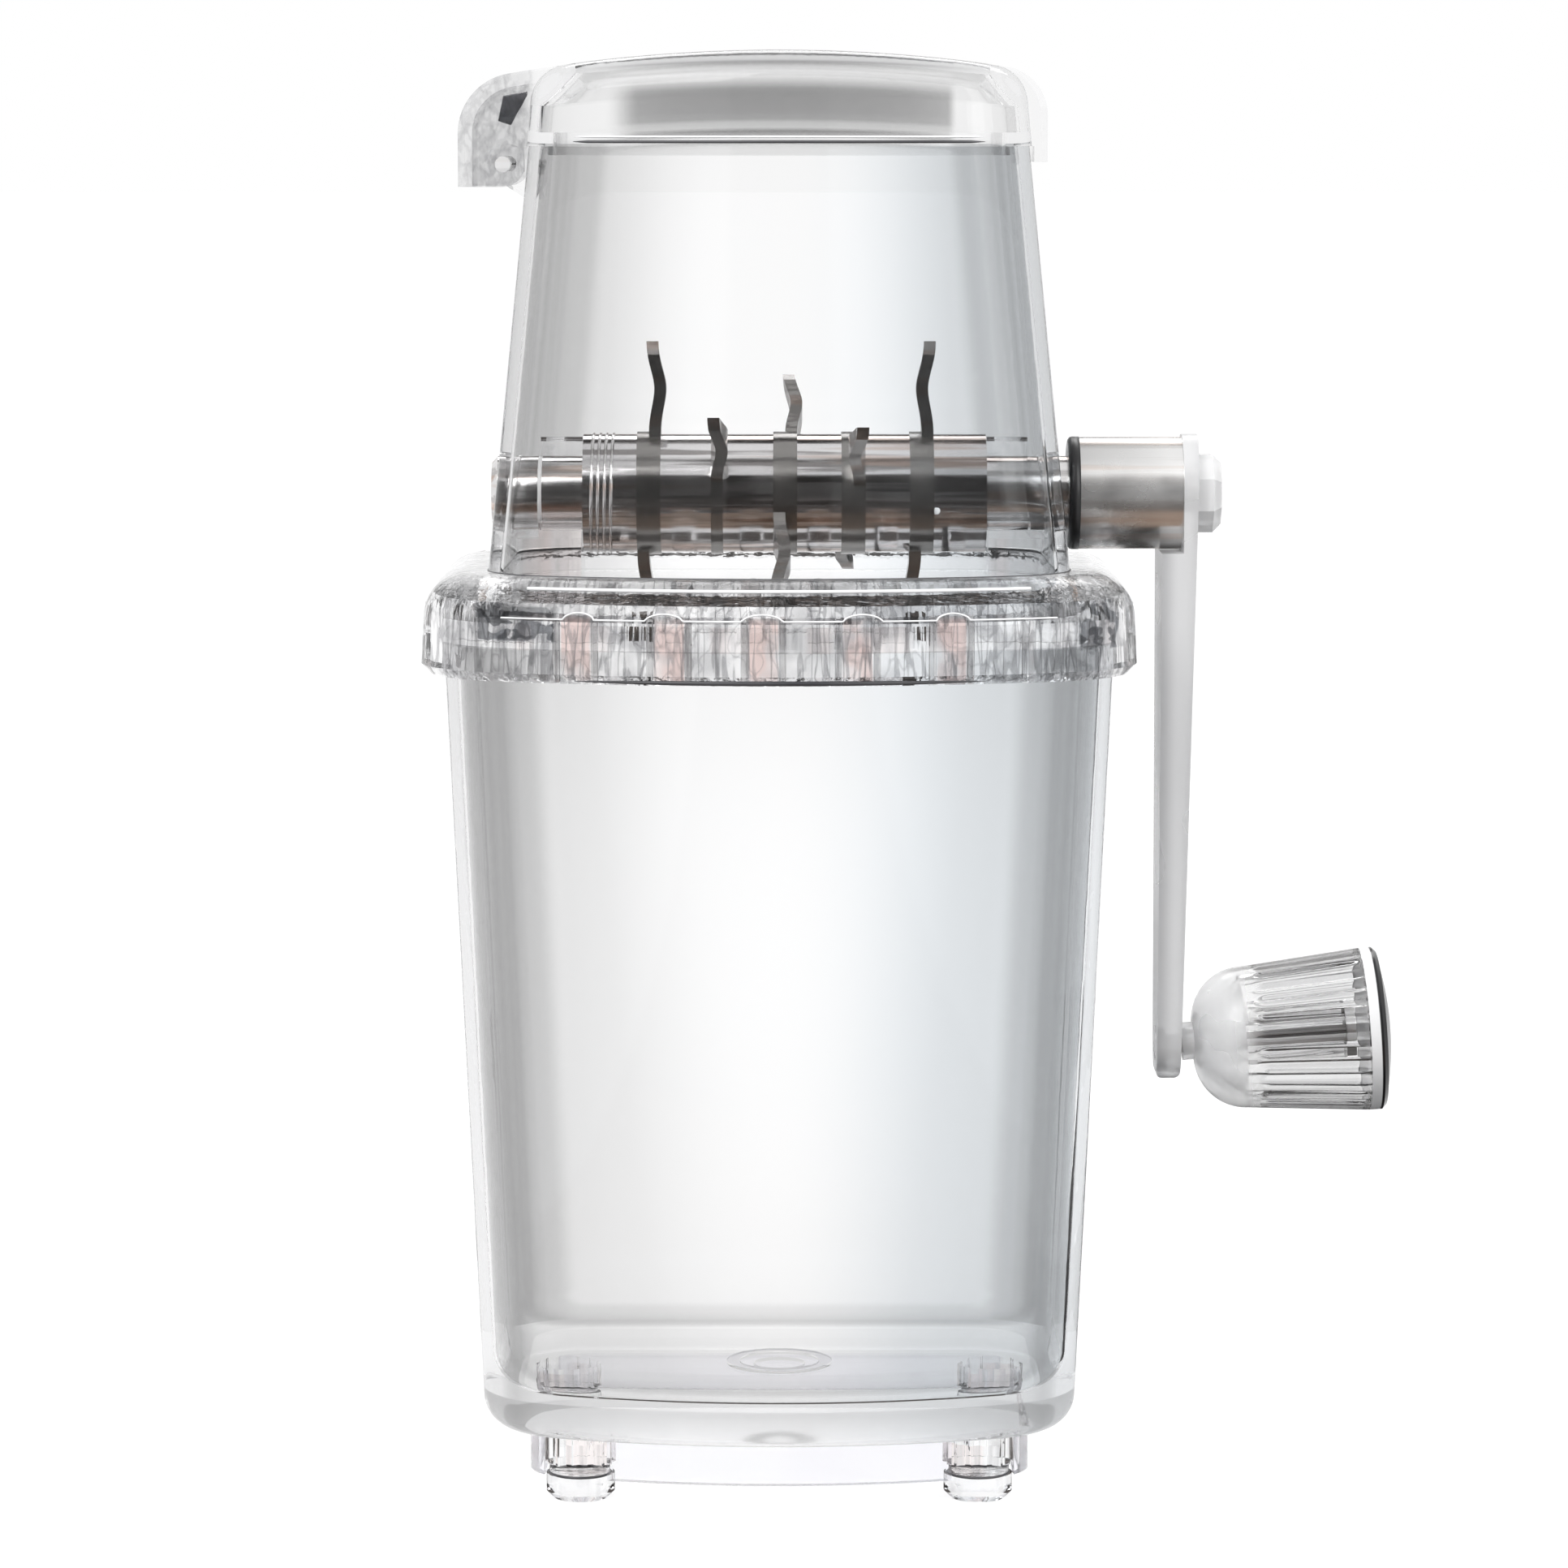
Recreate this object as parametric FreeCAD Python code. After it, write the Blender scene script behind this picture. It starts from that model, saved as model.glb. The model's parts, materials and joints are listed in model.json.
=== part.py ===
import FreeCAD, Part
import math
import os
from collections import namedtuple

# Hand cranked ice shaver, millimetres.
# Origin: on the table under the middle of the container. +X towards the crank, +Y to the back, +Z up.
# Container and feet stand on the table. The head (collar, comb, hopper) lifts off them. The lid hinges
# on the hopper. Shaft, blades and crank turn in the head, and the knob turns on the crank.

Vector = FreeCAD.Vector
ORIGIN = Vector(0, 0, 0)
ALONG_X = Vector(1, 0, 0)
ALONG_Y = Vector(0, 1, 0)
ALONG_Z = Vector(0, 0, 1)

# ---- Fits ----
RUNNING_GAP = 0.06        # radial gap of shaft and knob pin in their bores
PIN_GAP = 0.05            # radial gap of the lid's hinge pin
SLIP_GAP = 0.2            # gap between clear parts that are put together by hand
FREE_GAP = 0.5            # gap between parts that move past each other

# ---- Feet ----
PAD_HEIGHT = 4.2
PAD_RADIUS = 5.7
PAD_EDGE = 1.2            # bevel of the pad's lower edge
NECK_HEIGHT = 1.8         # band between pad and post
NECK_RADIUS = 5.2
POST_HEIGHT = 4.9
POST_RADIUS = 5.9
POST_RIBS = 14
POST_GROOVE = 0.7         # depth between the ribs
FRONT_FOOT_X = 33.2
FRONT_FOOT_Y = -24.0
REAR_FOOT_X = 37.0
REAR_FOOT_Y = 18.0

# ---- Container ----
CONTAINER_HEIGHT = 132.6
RIM_HALF_WIDTH = 55.3     # outer plan at the rim: side, back, front, radius of the bowed front
RIM_BACK = 39.5
RIM_FRONT = 45.5
RIM_FRONT_RADIUS = 122.0
CONTAINER_CORNER = 17.0
CONTAINER_DRAFT = 5.9     # how much each side comes in towards the floor
CONTAINER_WALL = 2.4
FLOOR_THICKNESS = 6.6
FLOOR_EDGE_OUTSIDE = 5.5
FLOOR_EDGE_INSIDE = 6.5
GATE_RING_RADIUS = 9.0    # moulded ring in the middle of the floor
GATE_RING_WIDTH = 2.2
GATE_RING_HEIGHT = 0.5
GATE_DIMPLE_RADIUS = 4.4
GATE_DIMPLE_DEPTH = 0.6

# ---- Base skirt ----
SKIRT_INSET = 7.6         # from the container's widest floor plan
SKIRT_WALL = 1.6
SKIRT_LIFT = 3.6          # gap under the skirt
SKIRT_CORNER = 9.0

# ---- Collar ----
COLLAR_OVERLAP = 5.1      # how far the collar reaches down over the rim
COLLAR_WALL = 3.3
COLLAR_DECK = 4.0
COLLAR_SHOULDER = 7.5     # rounding of the upper edge
COLLAR_DRAFT = 0.8
COLLAR_FOOT_CHAMFER = 1.6

# ---- Comb ----
COMB_THICKNESS = 4.2
BAR_WIDTH = 4.0
PEG_WIDTH = 7.0           # pegs that snap into the collar's side windows and hold the head together
PEG_Y = -9.0
PEG_HEIGHT = 5.6

# ---- Hopper ----
HOPPER_HEIGHT = 76.8
HOPPER_SIDE_STEP = 6.55   # how far its foot stands in from the container's rim at the sides
HOPPER_STEP = 6.0         # the same at the back and the front
HOPPER_FRONT_RADIUS = 112.0
HOPPER_CORNER = 15.0
HOPPER_DRAFT = 7.5
HOPPER_WALL = 2.4
FLANGE_WIDTH = 3.0
FLANGE_THICKNESS = 3.0

# ---- Lid ----
LID_HEIGHT = 15.6
LID_OVERHANG = 0.4
LID_DRAFT = 1.5
LID_WALL = 2.2
LID_CROWN = 3.0           # how much higher the middle is than the ends
LID_SHOULDER = 6.5
LIP_DEPTH = 1.5           # lip that drops into the hopper's mouth
LIP_WALL = 1.4
TAB_WIDTH = 26.0
TAB_WALL = 2.2
TAB_DROP = 2.6            # how far the tab reaches below the hopper's mouth
TAB_GAP = 0.4
TAB_BEND = 8.0

# ---- Lid hinge ----
HINGE_OUT = 4.4           # pin axis outside the hopper's mouth
HINGE_DROP = 3.0          # pin axis below the hopper's mouth
HINGE_PIN_RADIUS = 1.3
EAR_RADIUS = 3.3
EAR_WIDTH = 16.0
EAR_WEB = 7.0             # how far the ear's web reaches down the wall below the pin axis
CHEEK_WALL = 3.0
LUG_WALL = 2.2
LUG_REACH = 7.4           # outside of the lug beyond the pin axis
LUG_BEND = 10.0
LUG_RUN = 9.0             # how far the lug and the tab run in over the lid's shoulder

# ---- Shaft and drive ----
SHAFT_ABOVE_COMB = 18.8   # shaft axis above the comb's upper face
SHAFT_RADIUS = 6.2
SHAFT_STUB = 1.29         # how far the left end stands out of the hopper's wall
SHAFT_EDGE = 1.0
SHAFT_FLAT = 0.9          # depth of the flat that drives the blades
TENON_SIDE = 8.4          # square end that drives the crank
STUD_RADIUS = 3.0

# ---- Bearings ----
BEARING_RADIUS = 9.4
BEARING_LENGTH = 7.2      # of the saddle; its foot reaches to the hopper's wall
BEARING_HALF_FOOT = 10.5
SADDLE_FRONT_DROP = 4.4   # front lip of the saddle below the shaft's axis
FOOT_DROP = 7.0           # top of the foot below the shaft's axis

# ---- Blades and spacers ----
STACK_LEFT = -32.8        # stack of spacers and blades on the shaft
STACK_RIGHT = 34.6
STATION_PITCH = 11.4
STATION_MIDDLE = 1.0
PLATE = 2.0
HUB_RADIUS = 10.3
SPACER_RADIUS = 9.9
BLADE_REACH = 25.5
BLADE_BEND = 0.9          # how far the middle of the prong bulges sideways
BLADE_TIP_BEND = 0.4      # how far the point stands out on the other side
BLADE_ROOT_HALF = 4.1
BLADE_TIP = 2.2           # width and height of the point
BLADE_HOOK = 1.6          # how far the point leans forwards

# name, station, side of the station's middle (-1 left, 0 centred, 1 right), angle from straight up
Blade = namedtuple("Blade", "name station side angle")
BLADES = [
    Blade("blade_1_low", -2, -1, 180.0),
    Blade("blade_1_high", -2, 1, 0.0),
    Blade("blade_2", -1, 0, 54.0),
    Blade("blade_3_low", 0, -1, 122.0),
    Blade("blade_3_high", 0, 1, -45.0),
    Blade("blade_4_low", 1, -1, -128.0),
    Blade("blade_4_high", 1, 1, 58.0),
    Blade("blade_5_low", 2, -1, 180.0),
    Blade("blade_5_high", 2, 1, 0.0),
]

# ---- Crank ----
CRANK_HUB_GAP = 1.49      # from the hopper's wall to the hub
CRANK_HUB_LENGTH = 19.1
CRANK_HUB_RADIUS = 9.4
CRANK_HUB_CHAMFER = 0.9
HUB_SOCKET = 1.6          # how far the round journal reaches into the hub
CRANK_RADIUS = 93.4       # shaft axis to knob axis
ARM_HEAD_RADIUS = 9.9
ARM_END_RADIUS = 6.2
ARM_HEAD_THICKNESS = 2.6
ARM_STEP = 3.6            # how far the arm stands in behind the hub
ARM_TAPER = 2.2           # how much thinner the arm is at the knob
ARM_TOE = 1.6             # rounding of the lower end
NUT_LENGTH = 4.0
NUT_RADIUS = 7.0
NUT_SIDES = 8
NUT_EDGE = 1.4

# ---- Knob ----
KNOB_TILT = 4.0           # degrees, outer end up
KNOB_NECK_RADIUS = 3.2
KNOB_NECK_LENGTH = 2.0
KNOB_BELL_LENGTH = 29.0
KNOB_DOME_LENGTH = 8.5
KNOB_DOME_RADIUS = 12.0
KNOB_DOME_MID_LENGTH = 2.6    # point halfway round the dome
KNOB_DOME_MID_RADIUS = 9.5
KNOB_END_RADIUS = 13.8
KNOB_WALL = 2.2
KNOB_CORE_RADIUS = 4.2
KNOB_CORE_STOP = 3.2      # how far the core stops short of the bell's open end
KNOB_RIBS = 26            # inside the bell
KNOB_RIB_HEIGHT = 0.9
KNOB_RING_LENGTH = 2.8
KNOB_RING_WALL = 1.3
KNOB_CAP_BULGE = 1.6
KNOB_PIN_RADIUS = 1.9
KNOB_PIN_HEAD_RADIUS = 3.0
KNOB_PIN_HEAD = 1.6

# ---- Heights and places worked out from the sizes above ----
CONTAINER_Z = PAD_HEIGHT + NECK_HEIGHT + POST_HEIGHT
RIM_Z = CONTAINER_Z + CONTAINER_HEIGHT
FLOOR_Z = CONTAINER_Z + FLOOR_THICKNESS
COLLAR_Z = RIM_Z - COLLAR_OVERLAP
COMB_TOP = RIM_Z + COMB_THICKNESS
DECK_UNDER = COMB_TOP + FLANGE_THICKNESS + SLIP_GAP
COLLAR_TOP = DECK_UNDER + COLLAR_DECK
HOPPER_Z = COMB_TOP
HOPPER_HALF_WIDTH = RIM_HALF_WIDTH - HOPPER_SIDE_STEP
HOPPER_BACK = RIM_BACK - HOPPER_STEP
HOPPER_FRONT = RIM_FRONT - HOPPER_STEP
MOUTH_Z = HOPPER_Z + HOPPER_HEIGHT
SHAFT_Z = COMB_TOP + SHAFT_ABOVE_COMB
WALL_AT_SHAFT = HOPPER_HALF_WIDTH - HOPPER_DRAFT * SHAFT_ABOVE_COMB / HOPPER_HEIGHT
SHAFT_LEFT_END = -(WALL_AT_SHAFT + SHAFT_STUB)
CRANK_HUB_X = WALL_AT_SHAFT + CRANK_HUB_GAP
HINGE_X = -(HOPPER_HALF_WIDTH - HOPPER_DRAFT + HINGE_OUT)
HINGE_Z = MOUTH_Z - HINGE_DROP
CHEEK_RADIUS = HINGE_OUT - FREE_GAP - SLIP_GAP    # the lug below its pin, so that it turns clear of the wall
STATIONS = sorted({blade.station for blade in BLADES})
CRANK_HUB_END = CRANK_HUB_X + CRANK_HUB_LENGTH
ARM_OUTSIDE = CRANK_HUB_END + ARM_HEAD_THICKNESS
KNOB_Z = SHAFT_Z - CRANK_RADIUS
RIVET_SEAT = -(ARM_STEP + ARM_HEAD_THICKNESS - ARM_TAPER) + KNOB_PIN_HEAD
LONG = 400.0              # longer than any part, for cuts
TOUCH = 0.01              # places closer than this count as one

# Plan of a bowl or cover: flat back, straight sides, front bowed to front_radius, rounded corners
Plan = namedtuple("Plan", "half_width back front front_radius corner")

RIM_PLAN = Plan(RIM_HALF_WIDTH, RIM_BACK, RIM_FRONT, RIM_FRONT_RADIUS, CONTAINER_CORNER)
HOPPER_PLAN = Plan(HOPPER_HALF_WIDTH, HOPPER_BACK, HOPPER_FRONT, HOPPER_FRONT_RADIUS, HOPPER_CORNER)


# ---- Helpers ----
def inset(plan, amount, corner=None):
    """Plan moved in by amount on every side (out if negative)."""
    if corner is None:
        corner = plan.corner - amount
    return Plan(plan.half_width - amount, plan.back - amount, plan.front - amount,
                plan.front_radius - amount, corner)


def spans_height(edge):
    """True for an edge that runs from one height to another."""
    return abs(edge.Vertexes[0].Z - edge.Vertexes[-1].Z) > 0.5 * edge.Length


def at_height(edge, z):
    """True for an edge that lies wholly at height z."""
    box = edge.BoundBox
    return abs(box.ZMin - z) < TOUCH and abs(box.ZMax - z) < TOUCH


def flat_face(points):
    return Part.Face(Part.makePolygon(points + points[:1]))


def sides_and_back(lower, z_low, upper, z_high):
    """Four-sided frustum with the two plans' sides and backs, open room in front of them."""
    reach = lower.front + upper.front
    rings = []
    for plan, z in ((lower, z_low), (upper, z_high)):
        rings.append([
            Vector(-plan.half_width, -reach, z),
            Vector(plan.half_width, -reach, z),
            Vector(plan.half_width, plan.back, z),
            Vector(-plan.half_width, plan.back, z),
        ])
    bottom, top = rings
    faces = [flat_face(bottom), flat_face(top)]
    for index in range(4):
        following = (index + 1) % 4
        faces.append(flat_face([bottom[index], bottom[following], top[following], top[index]]))
    return Part.Solid(Part.Shell(faces))


def front_round(lower, z_low, upper, z_high):
    """Cone or cylinder that gives both plans their bowed front."""
    centre = Vector(0, lower.front_radius - lower.front, z_low)
    height = z_high - z_low
    if abs(lower.front_radius - upper.front_radius) < TOUCH:
        return Part.makeCylinder(lower.front_radius, height, centre)
    return Part.makeCone(lower.front_radius, upper.front_radius, height, centre)


def tapered_block(lower, z_low, upper, z_high):
    """Solid between two plans, with its upright corners rounded."""
    block = sides_and_back(lower, z_low, upper, z_high)
    block = block.common(front_round(lower, z_low, upper, z_high)).removeSplitter()
    corners = [edge for edge in block.Edges if spans_height(edge)]
    return block.makeFillet(lower.corner, corners)


def cylinder(radius, length, base, axis=ALONG_Z):
    return Part.makeCylinder(radius, length, base, axis)


def slab(x0, x1, y0, y1, z0, z1):
    return Part.makeBox(x1 - x0, y1 - y0, z1 - z0, Vector(x0, y0, z0))


def prism_along_y(points, half_width):
    """Polygon of (x, z) points, extruded on both sides of y = 0."""
    corners = [Vector(x, -half_width, z) for x, z in points]
    return flat_face(corners).extrude(Vector(0, 2 * half_width, 0))


def revolve_about_x(points):
    """Polygon of (x, radius) points, turned about the X axis."""
    corners = [Vector(x, 0, radius) for x, radius in points]
    return flat_face(corners).revolve(ORIGIN, ALONG_X, 360)


def moved(shape, offset):
    shape.translate(offset)
    return shape


def fused(shapes):
    whole = shapes[0]
    for shape in shapes[1:]:
        whole = whole.fuse(shape)
    return whole.removeSplitter()


# ---- Container unit ----
def container_draft(z):
    """How far the container's wall has come in at height z."""
    return CONTAINER_DRAFT * (RIM_Z - z) / CONTAINER_HEIGHT


def container():
    base = inset(RIM_PLAN, CONTAINER_DRAFT, CONTAINER_CORNER)
    body = tapered_block(base, CONTAINER_Z, RIM_PLAN, RIM_Z)
    under = [edge for edge in body.Edges if at_height(edge, CONTAINER_Z)]
    body = body.makeFillet(FLOOR_EDGE_OUTSIDE, under)
    corner = CONTAINER_CORNER - CONTAINER_WALL
    floor_plan = inset(RIM_PLAN, container_draft(FLOOR_Z) + CONTAINER_WALL, corner)
    mouth_plan = inset(RIM_PLAN, CONTAINER_WALL, corner)
    hollow = tapered_block(floor_plan, FLOOR_Z, mouth_plan, RIM_Z)
    floor_edges = [edge for edge in hollow.Edges if at_height(edge, FLOOR_Z)]
    body = body.cut(hollow.makeFillet(FLOOR_EDGE_INSIDE, floor_edges))
    ring = cylinder(GATE_RING_RADIUS, GATE_RING_HEIGHT, Vector(0, 0, FLOOR_Z))
    ring = ring.cut(cylinder(GATE_RING_RADIUS - GATE_RING_WIDTH, GATE_RING_HEIGHT, Vector(0, 0, FLOOR_Z)))
    dimple = cylinder(GATE_DIMPLE_RADIUS, GATE_DIMPLE_DEPTH, Vector(0, 0, FLOOR_Z - GATE_DIMPLE_DEPTH))
    return body.fuse(ring).cut(dimple)


def foot_places():
    return {
        "front_left": Vector(-FRONT_FOOT_X, FRONT_FOOT_Y, 0),
        "front_right": Vector(FRONT_FOOT_X, FRONT_FOOT_Y, 0),
        "rear_left": Vector(-REAR_FOOT_X, REAR_FOOT_Y, 0),
        "rear_right": Vector(REAR_FOOT_X, REAR_FOOT_Y, 0),
    }


def foot_pad():
    pad = cylinder(PAD_RADIUS, PAD_HEIGHT, ORIGIN)
    lower = [edge for edge in pad.Edges if at_height(edge, 0)]
    return pad.makeChamfer(PAD_EDGE, lower)


def foot_post():
    """Ribbed post on a plain neck."""
    post_z = PAD_HEIGHT + NECK_HEIGHT
    corners = []
    for index in range(2 * POST_RIBS):
        angle = math.pi * index / POST_RIBS
        radius = POST_RADIUS if index % 2 == 0 else POST_RADIUS - POST_GROOVE
        corners.append(Vector(radius * math.cos(angle), radius * math.sin(angle), post_z))
    post = flat_face(corners).extrude(Vector(0, 0, POST_HEIGHT))
    return post.fuse(cylinder(NECK_RADIUS, NECK_HEIGHT, Vector(0, 0, PAD_HEIGHT)))


def base_skirt():
    plan = inset(RIM_PLAN, CONTAINER_DRAFT + SKIRT_INSET, SKIRT_CORNER)
    inner = inset(plan, SKIRT_WALL)
    ring = tapered_block(plan, SKIRT_LIFT, plan, CONTAINER_Z)
    ring = ring.cut(tapered_block(inner, SKIRT_LIFT, inner, CONTAINER_Z))
    for place in foot_places().values():
        ring = ring.cut(cylinder(POST_RADIUS + SLIP_GAP, CONTAINER_Z, place))
    return ring


# ---- Head: collar and comb ----
def hopper_plan(z, growth=0.0):
    """Outer plan of the hopper at height z, grown by growth on every side."""
    draft = HOPPER_DRAFT * (z - HOPPER_Z) / HOPPER_HEIGHT
    return inset(HOPPER_PLAN, draft - growth, HOPPER_CORNER + growth)


def hopper_block(z_low, z_high, growth=0.0):
    return tapered_block(hopper_plan(z_low, growth), z_low, hopper_plan(z_high, growth), z_high)


def peg(growth):
    """Pair of pegs on the comb's sides, grown by growth for the windows they snap into."""
    inner = HOPPER_HALF_WIDTH + FLANGE_WIDTH + SLIP_GAP
    outer = RIM_HALF_WIDTH + FREE_GAP + COLLAR_WALL - SLIP_GAP + growth
    low = RIM_Z - growth
    half = PEG_WIDTH / 2 + growth
    high = RIM_Z + PEG_HEIGHT + growth
    right = slab(inner, outer, PEG_Y - half, PEG_Y + half, low, high)
    left = slab(-outer, -inner, PEG_Y - half, PEG_Y + half, low, high)
    return [left, right]


def collar():
    inside = inset(RIM_PLAN, -FREE_GAP)
    lower = inset(inside, -COLLAR_WALL)
    upper = inset(lower, COLLAR_DRAFT, lower.corner)
    body = tapered_block(lower, COLLAR_Z, upper, COLLAR_TOP)
    body = body.makeFillet(COLLAR_SHOULDER, [edge for edge in body.Edges if at_height(edge, COLLAR_TOP)])
    body = body.makeChamfer(COLLAR_FOOT_CHAMFER, [edge for edge in body.Edges if at_height(edge, COLLAR_Z)])
    body = body.cut(tapered_block(inside, COLLAR_Z, inside, DECK_UNDER))
    body = body.cut(hopper_block(DECK_UNDER, COLLAR_TOP, SLIP_GAP))
    for window in peg(SLIP_GAP):
        body = body.cut(window)
    return body


def station_x(station):
    return STATION_MIDDLE + station * STATION_PITCH


def bar_places():
    """Middles of the comb's bars: halfway between stations, and one outside each end station."""
    places = [station_x(station) - STATION_PITCH / 2 for station in STATIONS]
    return places + [places[-1] + STATION_PITCH]


def comb():
    frame_plan = inset(RIM_PLAN, SLIP_GAP - FREE_GAP)
    frame = tapered_block(frame_plan, RIM_Z, frame_plan, COMB_TOP)
    throat_plan = inset(HOPPER_PLAN, HOPPER_WALL)
    throat = tapered_block(throat_plan, RIM_Z, throat_plan, COMB_TOP)
    places = bar_places()
    throat = throat.common(slab(places[0], places[-1], -LONG / 2, LONG / 2, RIM_Z, COMB_TOP))
    frame = frame.cut(throat)
    half = BAR_WIDTH / 2
    bars = []
    for x in places:
        bar = slab(x - half, x + half, -LONG / 2, LONG / 2, RIM_Z, COMB_TOP)
        bars.append(bar.common(throat))
        crest = cylinder(half, LONG, Vector(x, -LONG / 2, COMB_TOP), ALONG_Y)
        crest_room = inset(throat_plan, SLIP_GAP + HOPPER_DRAFT * half / HOPPER_HEIGHT)
        crest_block = tapered_block(crest_room, COMB_TOP, crest_room, COMB_TOP + half)
        bars.append(crest.common(crest_block))
    return fused([frame] + bars + peg(0))


# ---- Head: hopper, bearings, hinge pin ----
def hopper():
    body = hopper_block(HOPPER_Z, MOUTH_Z)
    flange_plan = inset(HOPPER_PLAN, -FLANGE_WIDTH)
    flange = tapered_block(flange_plan, HOPPER_Z, flange_plan, HOPPER_Z + FLANGE_THICKNESS)
    body = fused([body, flange, hinge_ear()])
    body = body.cut(hopper_block(HOPPER_Z, MOUTH_Z, -HOPPER_WALL))
    shaft_hole = cylinder(SHAFT_RADIUS + FREE_GAP, LONG, Vector(-LONG / 2, 0, SHAFT_Z), ALONG_X)
    body = body.cut(shaft_hole)
    pin_hole = cylinder(HINGE_PIN_RADIUS, EAR_WIDTH, Vector(HINGE_X, -EAR_WIDTH / 2, HINGE_Z), ALONG_Y)
    return body.cut(pin_hole)


def hinge_ear():
    """Ear on the hopper's left wall that carries the hinge pin."""
    wall_x = -(HOPPER_HALF_WIDTH - HOPPER_DRAFT) + HOPPER_WALL / 2
    eye = cylinder(EAR_RADIUS, EAR_WIDTH, Vector(HINGE_X, -EAR_WIDTH / 2, HINGE_Z), ALONG_Y)
    web = prism_along_y([
        (HINGE_X, HINGE_Z + EAR_RADIUS - FREE_GAP),
        (HINGE_X, HINGE_Z - EAR_RADIUS),
        (wall_x, HINGE_Z - EAR_WEB),
        (wall_x, HINGE_Z + EAR_RADIUS - FREE_GAP),
    ], EAR_WIDTH / 2)
    return eye.fuse(web)


def hinge_pin():
    """Pin through the ear and both cheeks of the lid's lug."""
    length = EAR_WIDTH + 2 * (FREE_GAP + CHEEK_WALL)
    return cylinder(HINGE_PIN_RADIUS, length, Vector(HINGE_X, -length / 2, HINGE_Z), ALONG_Y)


def bearing(side):
    """Saddle on the comb that carries one end of the shaft from below and behind; side is -1 or 1."""
    inner = STACK_LEFT - SLIP_GAP if side < 0 else STACK_RIGHT + SLIP_GAP
    saddle_end = inner + side * BEARING_LENGTH
    wall = side * HOPPER_HALF_WIDTH
    eye = cylinder(BEARING_RADIUS, BEARING_LENGTH, Vector(min(inner, saddle_end), 0, SHAFT_Z), ALONG_X)
    cheeks = slab(min(inner, saddle_end), max(inner, saddle_end), -BEARING_RADIUS, BEARING_RADIUS,
                  COMB_TOP, SHAFT_Z)
    front_room = slab(-LONG, LONG, -LONG, 0, SHAFT_Z - SADDLE_FRONT_DROP, MOUTH_Z)
    saddle = eye.fuse(cheeks).cut(front_room)
    foot = slab(min(inner, wall), max(inner, wall), -BEARING_HALF_FOOT, BEARING_HALF_FOOT,
                COMB_TOP, SHAFT_Z - FOOT_DROP)
    block = fused([saddle, foot]).common(hopper_block(HOPPER_Z, MOUTH_Z, -HOPPER_WALL))
    bore = cylinder(SHAFT_RADIUS + RUNNING_GAP, LONG, Vector(-LONG / 2, 0, SHAFT_Z), ALONG_X)
    return block.cut(bore)


# ---- Lid ----
def vault(depth):
    """Room under a crown that lies depth below the lid's own, across the whole tool."""
    half_width = lid_plan().half_width - LID_DRAFT
    radius = (half_width ** 2 + LID_CROWN ** 2) / (2 * LID_CROWN)
    centre = Vector(0, -LONG / 2, MOUTH_Z + LID_HEIGHT - radius)
    return cylinder(radius - depth, LONG, centre, ALONG_Y)


def crowned_block(lower, depth):
    """Block on the mouth whose top is crowned from side to side, depth below the lid's outside."""
    upper = inset(lower, LID_DRAFT, lower.corner)
    block = tapered_block(lower, MOUTH_Z, upper, MOUTH_Z + LID_HEIGHT)
    return block.common(vault(depth)).removeSplitter()


def roof_rim(block):
    """Edges round the crowned top."""
    roof = [face for face in block.Faces if is_vault(face)]
    edges = [edge for face in roof for edge in face.Edges]
    return [edge for edge in edges if sum(edge.isSame(other) for other in edges) == 1]


def is_vault(face):
    """True for the crowned top, a cylinder along Y that is wider than the lid."""
    surface = face.Surface
    return surface.TypeId == "Part::GeomCylinder" and surface.Radius > HOPPER_HALF_WIDTH


def lid_plan():
    return inset(hopper_plan(MOUTH_Z), -LID_OVERHANG)


def bent_over(block, x, depth, bend):
    """Block under the lid's crown, its upper edge at x rounded by bend."""
    block = block.common(vault(depth))
    upright = [edge for edge in block.Edges if abs(edge.CenterOfMass.x - x) < TOUCH]
    top = max(edge.CenterOfMass.z for edge in upright)
    upper = [edge for edge in upright if edge.CenterOfMass.z > top - TOUCH]
    return block.makeFillet(bend, upper)


def lid_lug():
    """Hollow hood over the hinge, with a cheek on each side for the pin."""
    lid_side = -lid_plan().half_width
    outside = HINGE_X - LUG_REACH
    top = MOUTH_Z + LID_HEIGHT
    half = EAR_WIDTH / 2 + FREE_GAP + CHEEK_WALL
    bottom = HINGE_Z - CHEEK_RADIUS
    hood = bent_over(slab(outside, lid_side + LUG_RUN, -half, half, bottom, top), outside, 0, LUG_BEND)
    room_half = EAR_WIDTH / 2 + FREE_GAP
    room = slab(outside + LUG_WALL, LONG, -room_half, room_half, bottom, top)
    hood = hood.cut(bent_over(room, outside + LUG_WALL, LUG_WALL, LUG_BEND - LUG_WALL))
    # the cheeks stop short of the hopper's wall, and their lower corners are round about the pin
    wall_room = slab(lid_side - FREE_GAP, LONG, -half, half, bottom, MOUTH_Z)
    corner = slab(HINGE_X, LONG, -half, half, bottom, HINGE_Z)
    corner = corner.cut(cylinder(CHEEK_RADIUS, LONG, Vector(HINGE_X, -LONG / 2, HINGE_Z), ALONG_Y))
    return hood.cut(wall_room).cut(corner)


def lid_tab():
    """Finger tab that runs from the roof over the right side of the hopper's mouth."""
    inside = HOPPER_HALF_WIDTH - HOPPER_DRAFT + LID_OVERHANG + TAB_GAP
    outside = inside + TAB_WALL
    start = lid_plan().half_width - LUG_RUN
    half = TAB_WIDTH / 2
    low = MOUTH_Z - TAB_DROP
    tab = bent_over(slab(start, outside, -half, half, low, MOUTH_Z + LID_HEIGHT), outside, 0, TAB_BEND)
    under = slab(start, inside, -half, half, low, MOUTH_Z)
    return tab.cut(under)


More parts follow.
